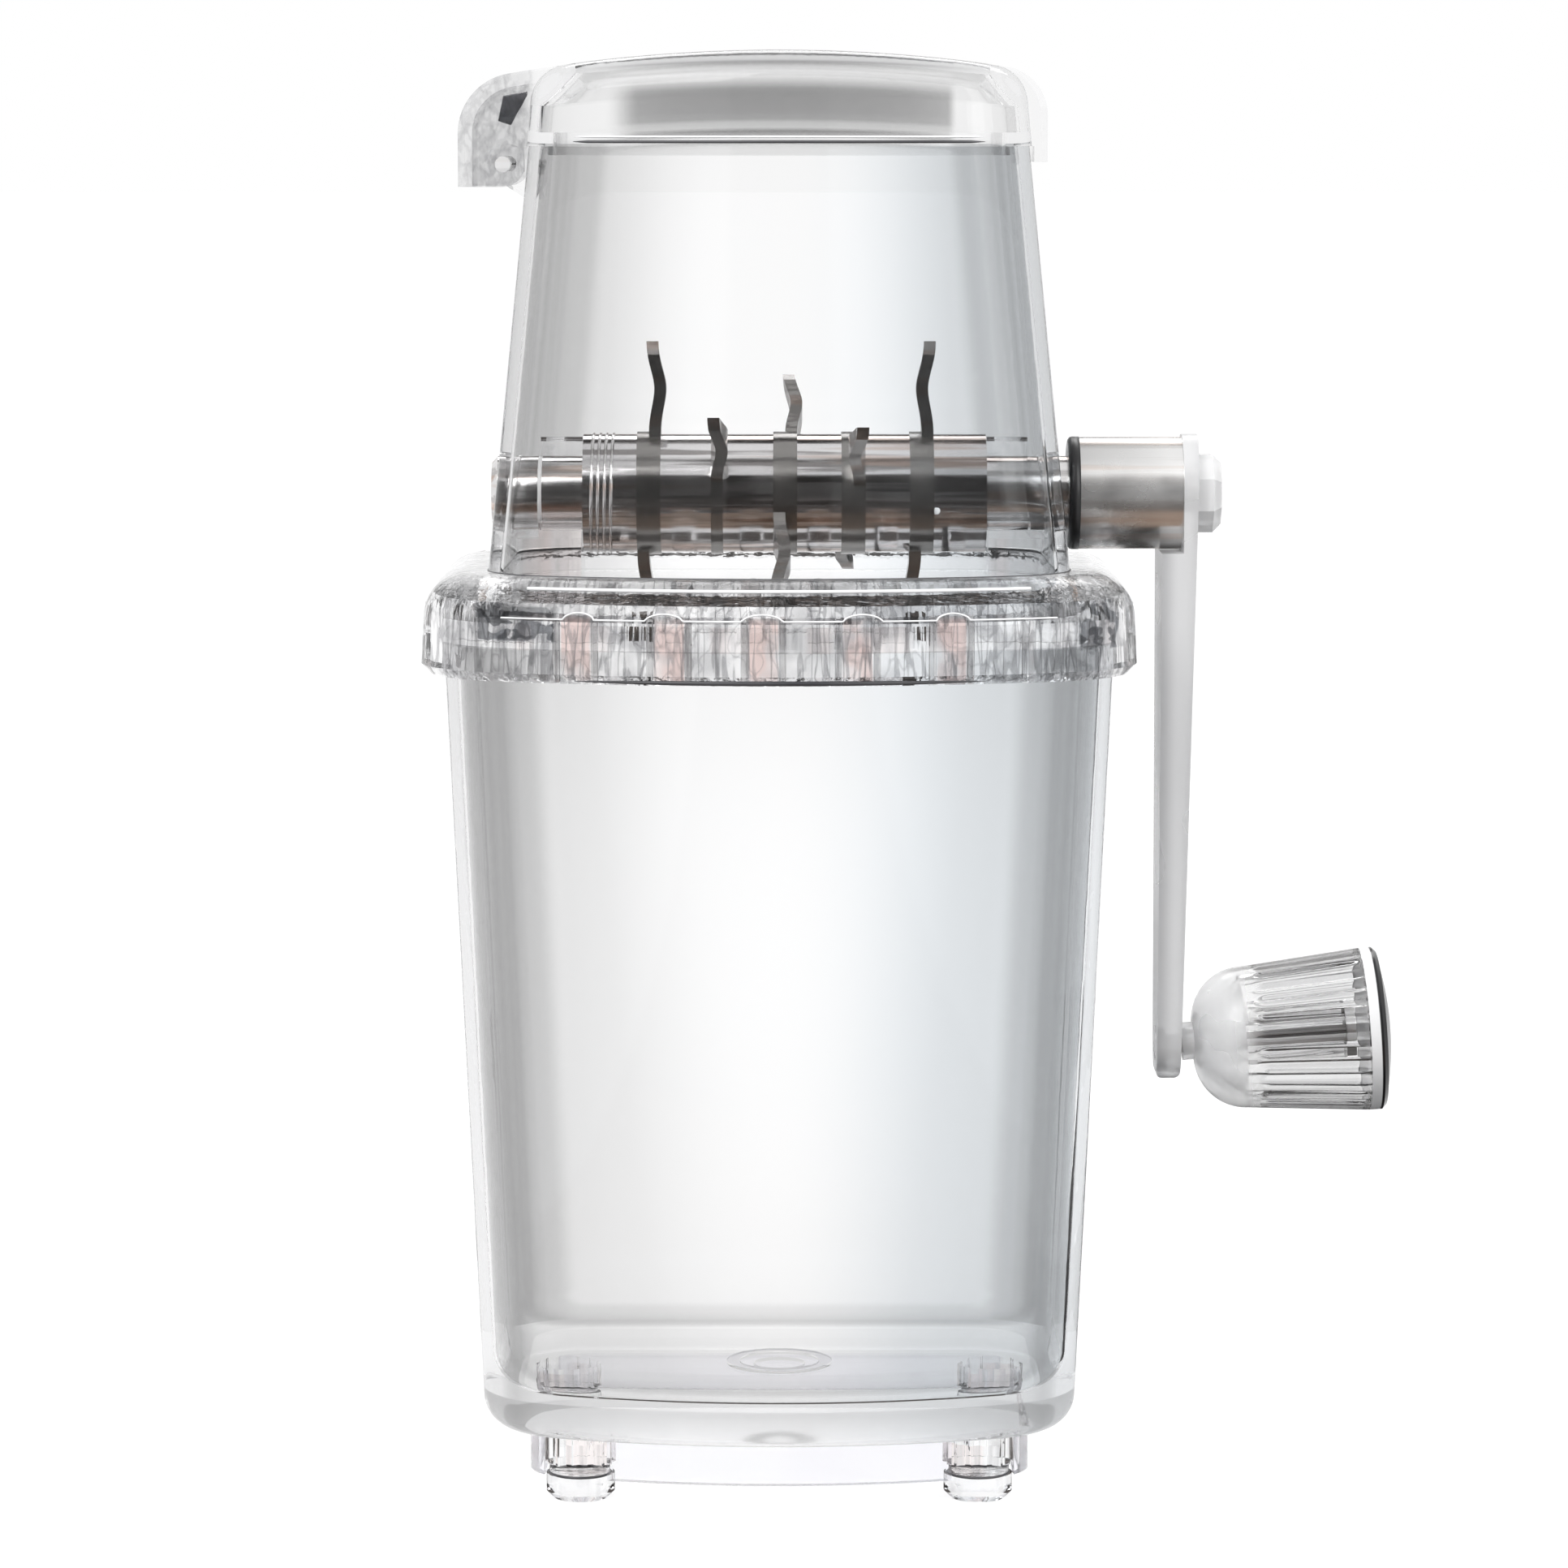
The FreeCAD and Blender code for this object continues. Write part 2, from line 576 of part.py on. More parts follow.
def lid():
    plan = lid_plan()
    dome = crowned_block(plan, 0)
    dome = dome.makeFillet(LID_SHOULDER, roof_rim(dome))
    body = fused([dome, lid_lug(), lid_tab()])
    hollow = crowned_block(inset(plan, LID_WALL), LID_WALL)
    body = body.cut(hollow.makeChamfer(LID_SHOULDER - LID_WALL, roof_rim(hollow)))
    lip_plan = inset(hopper_plan(MOUTH_Z), HOPPER_WALL + FREE_GAP + SLIP_GAP)
    lip = tapered_block(lip_plan, MOUTH_Z - LIP_DEPTH, lip_plan, MOUTH_Z + LID_WALL)
    lip_hollow = inset(lip_plan, LIP_WALL)
    lip = lip.cut(tapered_block(lip_hollow, MOUTH_Z - LIP_DEPTH, lip_hollow, MOUTH_Z + LID_WALL))
    ledge_plan = inset(plan, LID_WALL / 2)
    ledge = tapered_block(ledge_plan, MOUTH_Z, ledge_plan, MOUTH_Z + LID_WALL)
    ledge = ledge.cut(tapered_block(lip_hollow, MOUTH_Z, lip_hollow, MOUTH_Z + LID_WALL))
    body = fused([body, ledge, lip])
    length = EAR_WIDTH + 2 * (FREE_GAP + CHEEK_WALL)
    bore = cylinder(HINGE_PIN_RADIUS + PIN_GAP, length, Vector(HINGE_X, -length / 2, HINGE_Z), ALONG_Y)
    return body.cut(bore)


# ---- Rotor: shaft, spacers, blades, built about the X axis and lifted to the shaft's height ----
def round_bar(x_start, x_end):
    """Stretch of the shaft where it is fully round."""
    return cylinder(SHAFT_RADIUS, x_end - x_start, Vector(x_start, 0, 0), ALONG_X)


def flatted_bar(x_start, x_end):
    """Stretch of the shaft with the flat, which faces the back at rest."""
    return round_bar(x_start, x_end).cut(
        slab(x_start, x_end, SHAFT_RADIUS - SHAFT_FLAT, SHAFT_RADIUS, -SHAFT_RADIUS, SHAFT_RADIUS))


def tenon():
    half = TENON_SIDE / 2
    return slab(CRANK_HUB_X, CRANK_HUB_END, -half, half, -half, half)


def on_shaft(shape):
    return moved(shape, Vector(0, 0, SHAFT_Z))


def shaft():
    """Round ends in the bearings, a flat along the blades, a square end in the crank hub and a stud."""
    left = round_bar(SHAFT_LEFT_END, STACK_LEFT)
    rim = [edge for edge in left.Edges if edge.BoundBox.XMax < SHAFT_LEFT_END + TOUCH]
    left = left.makeChamfer(SHAFT_EDGE, rim)
    middle = flatted_bar(STACK_LEFT, STACK_RIGHT)
    right = round_bar(STACK_RIGHT, CRANK_HUB_X + HUB_SOCKET)
    stud = cylinder(STUD_RADIUS, ARM_HEAD_THICKNESS + NUT_LENGTH / 2, Vector(CRANK_HUB_END, 0, 0), ALONG_X)
    return on_shaft(fused([left, middle, right, tenon(), stud]))


def plate_start(blade):
    """Left face of a blade's plate."""
    return station_x(blade.station) + (blade.side - 1) * PLATE / 2


def spacers():
    """Sleeves that fill the shaft between the blades and up to both bearings."""
    sleeves = {}
    left = STACK_LEFT
    starts = sorted(plate_start(blade) for blade in BLADES)
    for start in starts + [STACK_RIGHT]:
        if start - left > SLIP_GAP:
            sleeve = cylinder(SPACER_RADIUS, start - left, Vector(left, 0, 0), ALONG_X)
            sleeve = sleeve.cut(flatted_bar(left, start))
            sleeves["spacer_%d" % (len(sleeves) + 1)] = on_shaft(sleeve)
        left = start + PLATE
    return sleeves


def claw():
    """One prong seen along the shaft, pointing up: a taper from the ring to a point that leans."""
    outline = flat_face([
        Vector(-HUB_RADIUS, -BLADE_ROOT_HALF, SHAFT_RADIUS),
        Vector(-HUB_RADIUS, -BLADE_HOOK - BLADE_TIP / 2, BLADE_REACH - BLADE_TIP),
        Vector(-HUB_RADIUS, -BLADE_HOOK, BLADE_REACH),
        Vector(-HUB_RADIUS, -BLADE_HOOK + BLADE_TIP / 2, BLADE_REACH - BLADE_TIP),
        Vector(-HUB_RADIUS, BLADE_ROOT_HALF, SHAFT_RADIUS),
    ])
    return outline.extrude(Vector(2 * HUB_RADIUS, 0, 0))


def bent_line(bend, offset):
    """Side of the plate seen along Y: straight in the ring, then an S bend up to the tip."""
    tip_bend = -BLADE_TIP_BEND if bend > 0 else BLADE_TIP_BEND
    middle_z = (HUB_RADIUS + BLADE_REACH) / 2
    bends = [
        Vector(offset, -HUB_RADIUS, HUB_RADIUS),
        Vector(offset + bend, -HUB_RADIUS, middle_z),
        Vector(offset + tip_bend, -HUB_RADIUS, BLADE_REACH),
    ]
    curve = Part.BSplineCurve()
    curve.interpolate(bends, InitialTangent=ALONG_Z, FinalTangent=ALONG_Z)
    straight = Part.makeLine(Vector(offset, -HUB_RADIUS, 0), bends[0])
    return straight, curve.toShape()


def bent_strip(bend):
    """The bent plate, wider than the prong."""
    straight_left, curve_left = bent_line(bend, 0)
    straight_right, curve_right = bent_line(bend, PLATE)
    wire = Part.Wire([
        straight_left,
        curve_left,
        Part.makeLine(curve_left.Vertexes[-1].Point, curve_right.Vertexes[-1].Point),
        curve_right,
        straight_right,
        Part.makeLine(straight_right.Vertexes[0].Point, straight_left.Vertexes[0].Point),
    ])
    return Part.Face(wire).extrude(Vector(0, 2 * HUB_RADIUS, 0))


def blade_shape(blade):
    """Ring hub with one bent prong, turned to its angle on the shaft."""
    bend = -BLADE_BEND if blade.station > 0 else BLADE_BEND
    prong = claw().common(bent_strip(bend))
    body = fused([prong, cylinder(HUB_RADIUS, PLATE, ORIGIN, ALONG_X)])
    body.rotate(ORIGIN, ALONG_X, blade.angle)
    body = body.cut(flatted_bar(0, PLATE))
    return on_shaft(moved(body, Vector(plate_start(blade), 0, 0)))


# ---- Crank ----
def crank_hub():
    body = cylinder(CRANK_HUB_RADIUS, CRANK_HUB_LENGTH, Vector(CRANK_HUB_X, 0, 0), ALONG_X)
    left = [edge for edge in body.Edges if abs(edge.BoundBox.XMax - CRANK_HUB_X) < TOUCH]
    body = body.makeChamfer(CRANK_HUB_CHAMFER, left)
    socket = cylinder(SHAFT_RADIUS, HUB_SOCKET, Vector(CRANK_HUB_X, 0, 0), ALONG_X)
    return on_shaft(body.cut(socket).cut(tenon()))


def arm_front():
    """Arm seen along X: a long taper between the head's and the knob end's circles."""
    spread = math.asin((ARM_HEAD_RADIUS - ARM_END_RADIUS) / CRANK_RADIUS)
    across = math.cos(spread)
    along = math.sin(spread)
    head_y = ARM_HEAD_RADIUS * across
    head_z = SHAFT_Z - ARM_HEAD_RADIUS * along
    end_y = ARM_END_RADIUS * across
    end_z = KNOB_Z - ARM_END_RADIUS * along
    return Part.Wire([
        Part.Arc(Vector(0, -head_y, head_z), Vector(0, 0, SHAFT_Z + ARM_HEAD_RADIUS),
                 Vector(0, head_y, head_z)).toShape(),
        Part.makeLine(Vector(0, head_y, head_z), Vector(0, end_y, end_z)),
        Part.Arc(Vector(0, end_y, end_z), Vector(0, 0, KNOB_Z - ARM_END_RADIUS),
                 Vector(0, -end_y, end_z)).toShape(),
        Part.makeLine(Vector(0, -end_y, end_z), Vector(0, -head_y, head_z)),
    ])


def crank_arm():
    inside = CRANK_HUB_END - ARM_STEP
    step_z = SHAFT_Z - CRANK_HUB_RADIUS - SLIP_GAP
    top = SHAFT_Z + ARM_HEAD_RADIUS
    bottom = KNOB_Z - ARM_END_RADIUS
    side = prism_along_y([
        (CRANK_HUB_END, top),
        (ARM_OUTSIDE, top),
        (ARM_OUTSIDE - ARM_TAPER, bottom),
        (inside, bottom),
        (inside, step_z),
        (CRANK_HUB_END, step_z),
    ], ARM_HEAD_RADIUS)
    side = side.makeFillet(ARM_TOE, [edge for edge in side.Edges if at_height(edge, bottom)
                                     and abs(edge.Vertexes[0].X - edge.Vertexes[-1].X) < TOUCH])
    front = Part.Face(arm_front()).extrude(Vector(LONG, 0, 0))
    body = side.common(front)
    hub_room = cylinder(CRANK_HUB_RADIUS + SLIP_GAP, ARM_STEP, Vector(inside, 0, SHAFT_Z), ALONG_X)
    stud_hole = cylinder(STUD_RADIUS, LONG, Vector(inside, 0, SHAFT_Z), ALONG_X)
    pin_hole = cylinder(KNOB_PIN_RADIUS, LONG, Vector(-LONG / 2, 0, 0), ALONG_X)
    rivet_room = cylinder(KNOB_PIN_HEAD_RADIUS, LONG, Vector(RIVET_SEAT - LONG, 0, 0), ALONG_X)
    return body.cut(hub_room).cut(stud_hole).cut(knob_place(pin_hole.fuse(rivet_room)))


def crank_nut():
    corners = []
    for index in range(NUT_SIDES):
        angle = 2 * math.pi * (index + 0.5) / NUT_SIDES
        corners.append(Vector(ARM_OUTSIDE, NUT_RADIUS * math.cos(angle), NUT_RADIUS * math.sin(angle)))
    body = flat_face(corners).extrude(Vector(NUT_LENGTH, 0, 0))
    outer = [edge for edge in body.Edges if edge.BoundBox.XMin > ARM_OUTSIDE + NUT_LENGTH - TOUCH]
    body = body.makeChamfer(NUT_EDGE, outer)
    hole = cylinder(STUD_RADIUS, NUT_LENGTH / 2, Vector(ARM_OUTSIDE, 0, 0), ALONG_X)
    return on_shaft(body.cut(hole))


# ---- Knob, built along X from the arm's outer face and tilted into place ----
def knob_start():
    return ARM_OUTSIDE - ARM_TAPER


def knob_place(shape):
    shape.rotate(ORIGIN, ALONG_Y, -KNOB_TILT)
    return moved(shape, Vector(knob_start(), 0, KNOB_Z))


def bell():
    """Solid bell: a domed start, then a straight flank that widens to the open end."""
    dome_start = Vector(0, 0, KNOB_CORE_RADIUS)
    dome_middle = Vector(KNOB_DOME_MID_LENGTH, 0, KNOB_DOME_MID_RADIUS)
    dome_end = Vector(KNOB_DOME_LENGTH, 0, KNOB_DOME_RADIUS)
    rim = Vector(KNOB_BELL_LENGTH, 0, KNOB_END_RADIUS)
    rim_middle = Vector(KNOB_BELL_LENGTH, 0, 0)
    outline = Part.Wire([
        Part.Arc(dome_start, dome_middle, dome_end).toShape(),
        Part.makeLine(dome_end, rim),
        Part.makeLine(rim, rim_middle),
        Part.makeLine(rim_middle, ORIGIN),
        Part.makeLine(ORIGIN, dome_start),
    ])
    return Part.Face(outline).revolve(ORIGIN, ALONG_X, 360)


def ribbed_ring(x, radius):
    """Closed zigzag round the knob's axis, from radius in to the crests of the ribs."""
    corners = []
    for index in range(2 * KNOB_RIBS):
        angle = math.pi * index / KNOB_RIBS
        reach = radius - KNOB_RIB_HEIGHT * (index % 2)
        corners.append(Vector(x, reach * math.cos(angle), reach * math.sin(angle)))
    return Part.makePolygon(corners + corners[:1])


def knob_body():
    body = bell()
    body = body.cut(revolve_about_x([
        (KNOB_WALL, 0),
        (KNOB_WALL, KNOB_CORE_RADIUS),
        (KNOB_DOME_LENGTH, KNOB_DOME_RADIUS - KNOB_WALL - KNOB_RIB_HEIGHT),
        (KNOB_DOME_LENGTH, 0),
    ]))
    ribbed_hollow = Part.makeLoft([
        ribbed_ring(KNOB_DOME_LENGTH, KNOB_DOME_RADIUS - KNOB_WALL),
        ribbed_ring(KNOB_BELL_LENGTH, KNOB_END_RADIUS - KNOB_WALL),
    ], True, True)
    body = body.cut(ribbed_hollow)
    core = cylinder(KNOB_CORE_RADIUS, KNOB_BELL_LENGTH - KNOB_CORE_STOP, ORIGIN, ALONG_X)
    neck = cylinder(KNOB_NECK_RADIUS, KNOB_NECK_LENGTH, Vector(-KNOB_NECK_LENGTH, 0, 0), ALONG_X)
    body = fused([body, core, neck])
    body = body.cut(cylinder(KNOB_PIN_RADIUS + RUNNING_GAP, LONG, Vector(-LONG / 2, 0, 0), ALONG_X))
    return knob_place(moved(body, Vector(FREE_GAP + KNOB_NECK_LENGTH, 0, 0)))


def knob_end():
    """Distance of the bell's open end from the arm."""
    return FREE_GAP + KNOB_NECK_LENGTH + KNOB_BELL_LENGTH


def knob_ring():
    start = knob_end()
    ring = cylinder(KNOB_END_RADIUS, KNOB_RING_LENGTH, Vector(start, 0, 0), ALONG_X)
    outer = [edge for edge in ring.Edges if edge.BoundBox.XMin > start + KNOB_RING_LENGTH - TOUCH]
    ring = ring.makeChamfer(KNOB_RING_WALL / 2, outer)
    hole = cylinder(KNOB_END_RADIUS - KNOB_RING_WALL, KNOB_RING_LENGTH, Vector(start, 0, 0), ALONG_X)
    return knob_place(ring.cut(hole))


def knob_cap():
    """Convex disc in the ring."""
    start = knob_end()
    radius = KNOB_END_RADIUS - KNOB_RING_WALL
    ball = (radius ** 2 + KNOB_CAP_BULGE ** 2) / (2 * KNOB_CAP_BULGE)
    tip = start + KNOB_RING_LENGTH + KNOB_CAP_BULGE
    disc = cylinder(radius, KNOB_RING_LENGTH + KNOB_CAP_BULGE, Vector(start, 0, 0), ALONG_X)
    disc = disc.common(Part.makeSphere(ball, Vector(tip - ball, 0, 0)))
    return knob_place(disc)


def knob_pin():
    """Shoulder pin: a rivet head sunk in the arm's back, a shank and a head in the knob's hollow."""
    shank_end = knob_end() - KNOB_CORE_STOP + SLIP_GAP
    rivet = cylinder(KNOB_PIN_HEAD_RADIUS, KNOB_PIN_HEAD, Vector(RIVET_SEAT - KNOB_PIN_HEAD, 0, 0), ALONG_X)
    shank = cylinder(KNOB_PIN_RADIUS, shank_end - RIVET_SEAT, Vector(RIVET_SEAT, 0, 0), ALONG_X)
    head = cylinder(KNOB_PIN_HEAD_RADIUS, KNOB_PIN_HEAD, Vector(shank_end, 0, 0), ALONG_X)
    return knob_place(fused([rivet, shank, head]))


def pieces():
    """Every node of the assembly by name."""
    nodes = {
        "container": container(),
        "base_skirt": base_skirt(),
        "collar": collar(),
        "comb": comb(),
        "hopper": hopper(),
        "bearing_left": bearing(-1),
        "bearing_right": bearing(1),
        "hinge_pin": hinge_pin(),
        "lid": lid(),
        "shaft": shaft(),
        "crank_hub": crank_hub(),
        "crank_arm": crank_arm(),
        "crank_nut": crank_nut(),
        "knob_pin": knob_pin(),
        "knob_body": knob_body(),
        "knob_ring": knob_ring(),
        "knob_cap": knob_cap(),
    }
    for name, place in foot_places().items():
        nodes["foot_" + name] = moved(foot_post(), place)
        nodes["pad_" + name] = moved(foot_pad(), place)
    nodes.update(spacers())
    for blade in BLADES:
        nodes[blade.name] = blade_shape(blade)
    return nodes


os.makedirs("parts", exist_ok=True)
for node_name, node_shape in pieces().items():
    node_shape.exportStep("parts/%s.step" % node_name)
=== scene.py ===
"""Dresses the hand cranked ice shaver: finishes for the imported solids, small moulded and turned details,
a pale studio and the camera. Metres, +X towards the crank, +Y towards the flat back, +Z up."""

import json
import logging
import math
from collections.abc import Iterable
from dataclasses import dataclass, field
from enum import Enum
from typing import Any

import bmesh
import bpy
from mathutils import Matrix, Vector
from mathutils.bvhtree import BVHTree

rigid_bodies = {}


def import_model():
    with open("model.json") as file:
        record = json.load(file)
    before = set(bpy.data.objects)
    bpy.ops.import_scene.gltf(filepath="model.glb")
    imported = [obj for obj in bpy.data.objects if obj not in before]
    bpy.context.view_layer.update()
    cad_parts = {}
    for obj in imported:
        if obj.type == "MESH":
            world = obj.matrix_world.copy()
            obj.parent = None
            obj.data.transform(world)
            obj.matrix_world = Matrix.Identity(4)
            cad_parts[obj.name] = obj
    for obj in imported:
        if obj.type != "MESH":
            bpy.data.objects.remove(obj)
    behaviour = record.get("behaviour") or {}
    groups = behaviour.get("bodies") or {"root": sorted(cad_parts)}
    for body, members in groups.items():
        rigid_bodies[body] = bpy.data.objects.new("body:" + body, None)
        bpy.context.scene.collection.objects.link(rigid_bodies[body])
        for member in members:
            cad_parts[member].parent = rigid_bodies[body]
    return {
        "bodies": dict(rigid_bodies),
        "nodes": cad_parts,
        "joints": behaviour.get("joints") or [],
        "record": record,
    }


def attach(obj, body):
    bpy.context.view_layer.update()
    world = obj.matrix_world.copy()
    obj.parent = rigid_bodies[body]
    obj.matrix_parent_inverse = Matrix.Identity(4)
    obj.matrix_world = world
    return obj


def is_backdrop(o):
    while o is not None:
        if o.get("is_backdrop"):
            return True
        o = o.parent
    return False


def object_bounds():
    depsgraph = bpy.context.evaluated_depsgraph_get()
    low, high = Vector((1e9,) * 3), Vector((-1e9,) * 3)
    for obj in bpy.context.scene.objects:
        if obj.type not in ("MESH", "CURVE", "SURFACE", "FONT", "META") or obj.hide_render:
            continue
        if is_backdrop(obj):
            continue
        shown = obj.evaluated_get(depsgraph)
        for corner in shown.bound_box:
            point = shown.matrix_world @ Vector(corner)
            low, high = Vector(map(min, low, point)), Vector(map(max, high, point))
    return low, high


LOG = logging.getLogger("ice_shaver")
MILLIMETRE = 0.001
JOINT_HALF = 0.00006      # half the height, in metres, within which a level face belongs to a joint
JOINT_SOFT = 0.00002      # soft edge of that height
LEVEL_NORMAL = 0.92       # upward part of the normal over which a face counts as level
NOISE_RANGE = (0.3, 0.7)  # values between which most of a noise lies

Colour = tuple[float, float, float]
Point = tuple[float, float, float]


class Body(Enum):
    """Rigid bodies of the frame that a piece can ride on."""

    BASE = "base"
    HEAD = "head"
    LID = "lid"
    ROTOR = "rotor"
    KNOB = "knob"


class Slot(Enum):
    """Material slots of the record."""

    CLEAR = "clear_plastic"
    TINTED = "tinted_plastic"
    FROSTED = "frosted_plastic"
    PAD = "soft_pad"
    BLACK = "black_plastic"
    POLISHED = "polished_steel"
    BLADE = "blade_steel"
    SATIN = "satin_steel"


# ---------------------------------------------------------------- node trees


def opaque(colour: Colour) -> tuple[float, float, float, float]:
    """Gives a colour its alpha of 1."""
    return (*colour, 1.0)


@dataclass(frozen=True)
class Value:
    """Output socket of a node tree that is used in sums.

    Args:
        tree: Tree that the socket belongs to.
        socket: The output socket.
    """

    tree: "Tree"
    socket: bpy.types.NodeSocket

    def __add__(self, other: "Value | float") -> "Value":
        """Sum."""
        return self.tree.math("ADD", self, other)

    def __radd__(self, other: float) -> "Value":
        """Sum with a number first."""
        return self.tree.math("ADD", other, self)

    def __sub__(self, other: "Value | float") -> "Value":
        """Difference."""
        return self.tree.math("SUBTRACT", self, other)

    def __rsub__(self, other: float) -> "Value":
        """Difference with a number first."""
        return self.tree.math("SUBTRACT", other, self)

    def __mul__(self, other: "Value | float") -> "Value":
        """Product."""
        return self.tree.math("MULTIPLY", self, other)

    def __rmul__(self, other: float) -> "Value":
        """Product with a number first."""
        return self.tree.math("MULTIPLY", other, self)

    def __truediv__(self, other: "Value | float") -> "Value":
        """Quotient."""
        return self.tree.math("DIVIDE", self, other)

    def __rtruediv__(self, other: float) -> "Value":
        """Quotient with a number first."""
        return self.tree.math("DIVIDE", other, self)

    def over(self, limit: float) -> "Value":
        """1 where the value is over a limit, else 0."""
        return self.tree.math("GREATER_THAN", self, limit)

    def clamped(self) -> "Value":
        """The value held between 0 and 1."""
        return self.tree.math("MAXIMUM", self.tree.math("MINIMUM", self, 1.0), 0.0)


class Tree:
    """A node tree under construction: a material's, a world's or a geometry group's."""

    def __init__(self, tree: bpy.types.NodeTree) -> None:
        """Starts on an empty tree.

        Args:
            tree: Blender's node tree, which is cleared first.
        """
        self.tree = tree
        self.tree.nodes.clear()

    def node(self, kind: str, settings: dict[str, Any] | None = None,
             inputs: dict[str | int, Any] | None = None) -> bpy.types.Node:
        """Adds a node.

        Args:
            kind: Blender's type name of the node.
            settings: Properties of the node by name.
            inputs: Numbers, colours or links for its inputs by name or index.

        Returns:
            The new node.
        """
        made = self.tree.nodes.new(kind)
        for name, value in (settings or {}).items():
            setattr(made, name, value)
        for key, value in (inputs or {}).items():
            self.feed(made.inputs[key], value)
        return made

    def feed(self, socket: bpy.types.NodeSocket, value: Any) -> None:
        """Links an input to a socket, or sets it to a constant.

        Args:
            socket: The input.
            value: A Value, a socket or a constant.
        """
        if isinstance(value, Value):
            value = value.socket
        if isinstance(value, bpy.types.NodeSocket):
            self.tree.links.new(value, socket)
        else:
            socket.default_value = value

    def math(self, operation: str, first: Any, second: Any) -> Value:
        """Adds a Math node.

        Args:
            operation: Name of the operation.
            first: First operand.
            second: Second operand.

        Returns:
            The result.
        """
        made = self.node("ShaderNodeMath", {"operation": operation}, {0: first, 1: second})
        return Value(self, made.outputs[0])

    def ramp(self, factor: Value, stops: Iterable[tuple[float, Colour]],
             interpolation: str = "EASE") -> bpy.types.NodeSocket:
        """Turns a factor into a colour.

        Args:
            factor: Factor from 0 to 1.
            stops: Positions and colours.
            interpolation: How the colours run between the stops.

        Returns:
            The colour.
        """
        made = self.node("ShaderNodeValToRGB", None, {"Fac": factor})
        ramp = made.color_ramp
        ramp.interpolation = interpolation
        listed = list(stops)
        while len(ramp.elements) < len(listed):
            ramp.elements.new(0.5)
        for element, (position, colour) in zip(ramp.elements, listed):
            element.position = position
            element.color = opaque(colour)
        return made.outputs["Color"]

    def mixed(self, factor: Any, first: Any, second: Any, blend: str = "MIX") -> bpy.types.NodeSocket:
        """Mixes two colours.

        Args:
            factor: Share of the second colour.
            first: First colour.
            second: Second colour.
            blend: Blend mode.

        Returns:
            The mixed colour.
        """
        made = self.node("ShaderNodeMix", {"data_type": "RGBA", "blend_type": blend})
        sockets = {socket.identifier: socket for socket in made.inputs}
        self.feed(sockets["Factor_Float"], factor)
        for name, colour in (("A_Color", first), ("B_Color", second)):
            self.feed(sockets[name], opaque(colour) if isinstance(colour, tuple) else colour)
        return next(socket for socket in made.outputs if socket.identifier == "Result_Color")

    def spread(self, value: Value, low: float, high: float, new_low: float, new_high: float,
               interpolation: str = "SMOOTHSTEP") -> Value:
        """Maps a range of values onto another.

        Args:
            value: The value.
            low: Start of its range.
            high: End of its range.
            new_low: Result at the start.
            new_high: Result at the end.
            interpolation: How the values run in between.

        Returns:
            The mapped value.
        """
        made = self.node("ShaderNodeMapRange", {"interpolation_type": interpolation}, {
            "Value": value, "From Min": low, "From Max": high, "To Min": new_low, "To Max": new_high,
        })
        return Value(self, made.outputs["Result"])

    def varied(self, pattern: Value, low: float, high: float) -> Value:
        """Spreads the usual range of a noise over two values.

        Args:
            pattern: The noise.
            low: Result at its lows.
            high: Result at its highs.

        Returns:
            The mapped value.
        """
        return self.spread(pattern, *NOISE_RANGE, low, high)


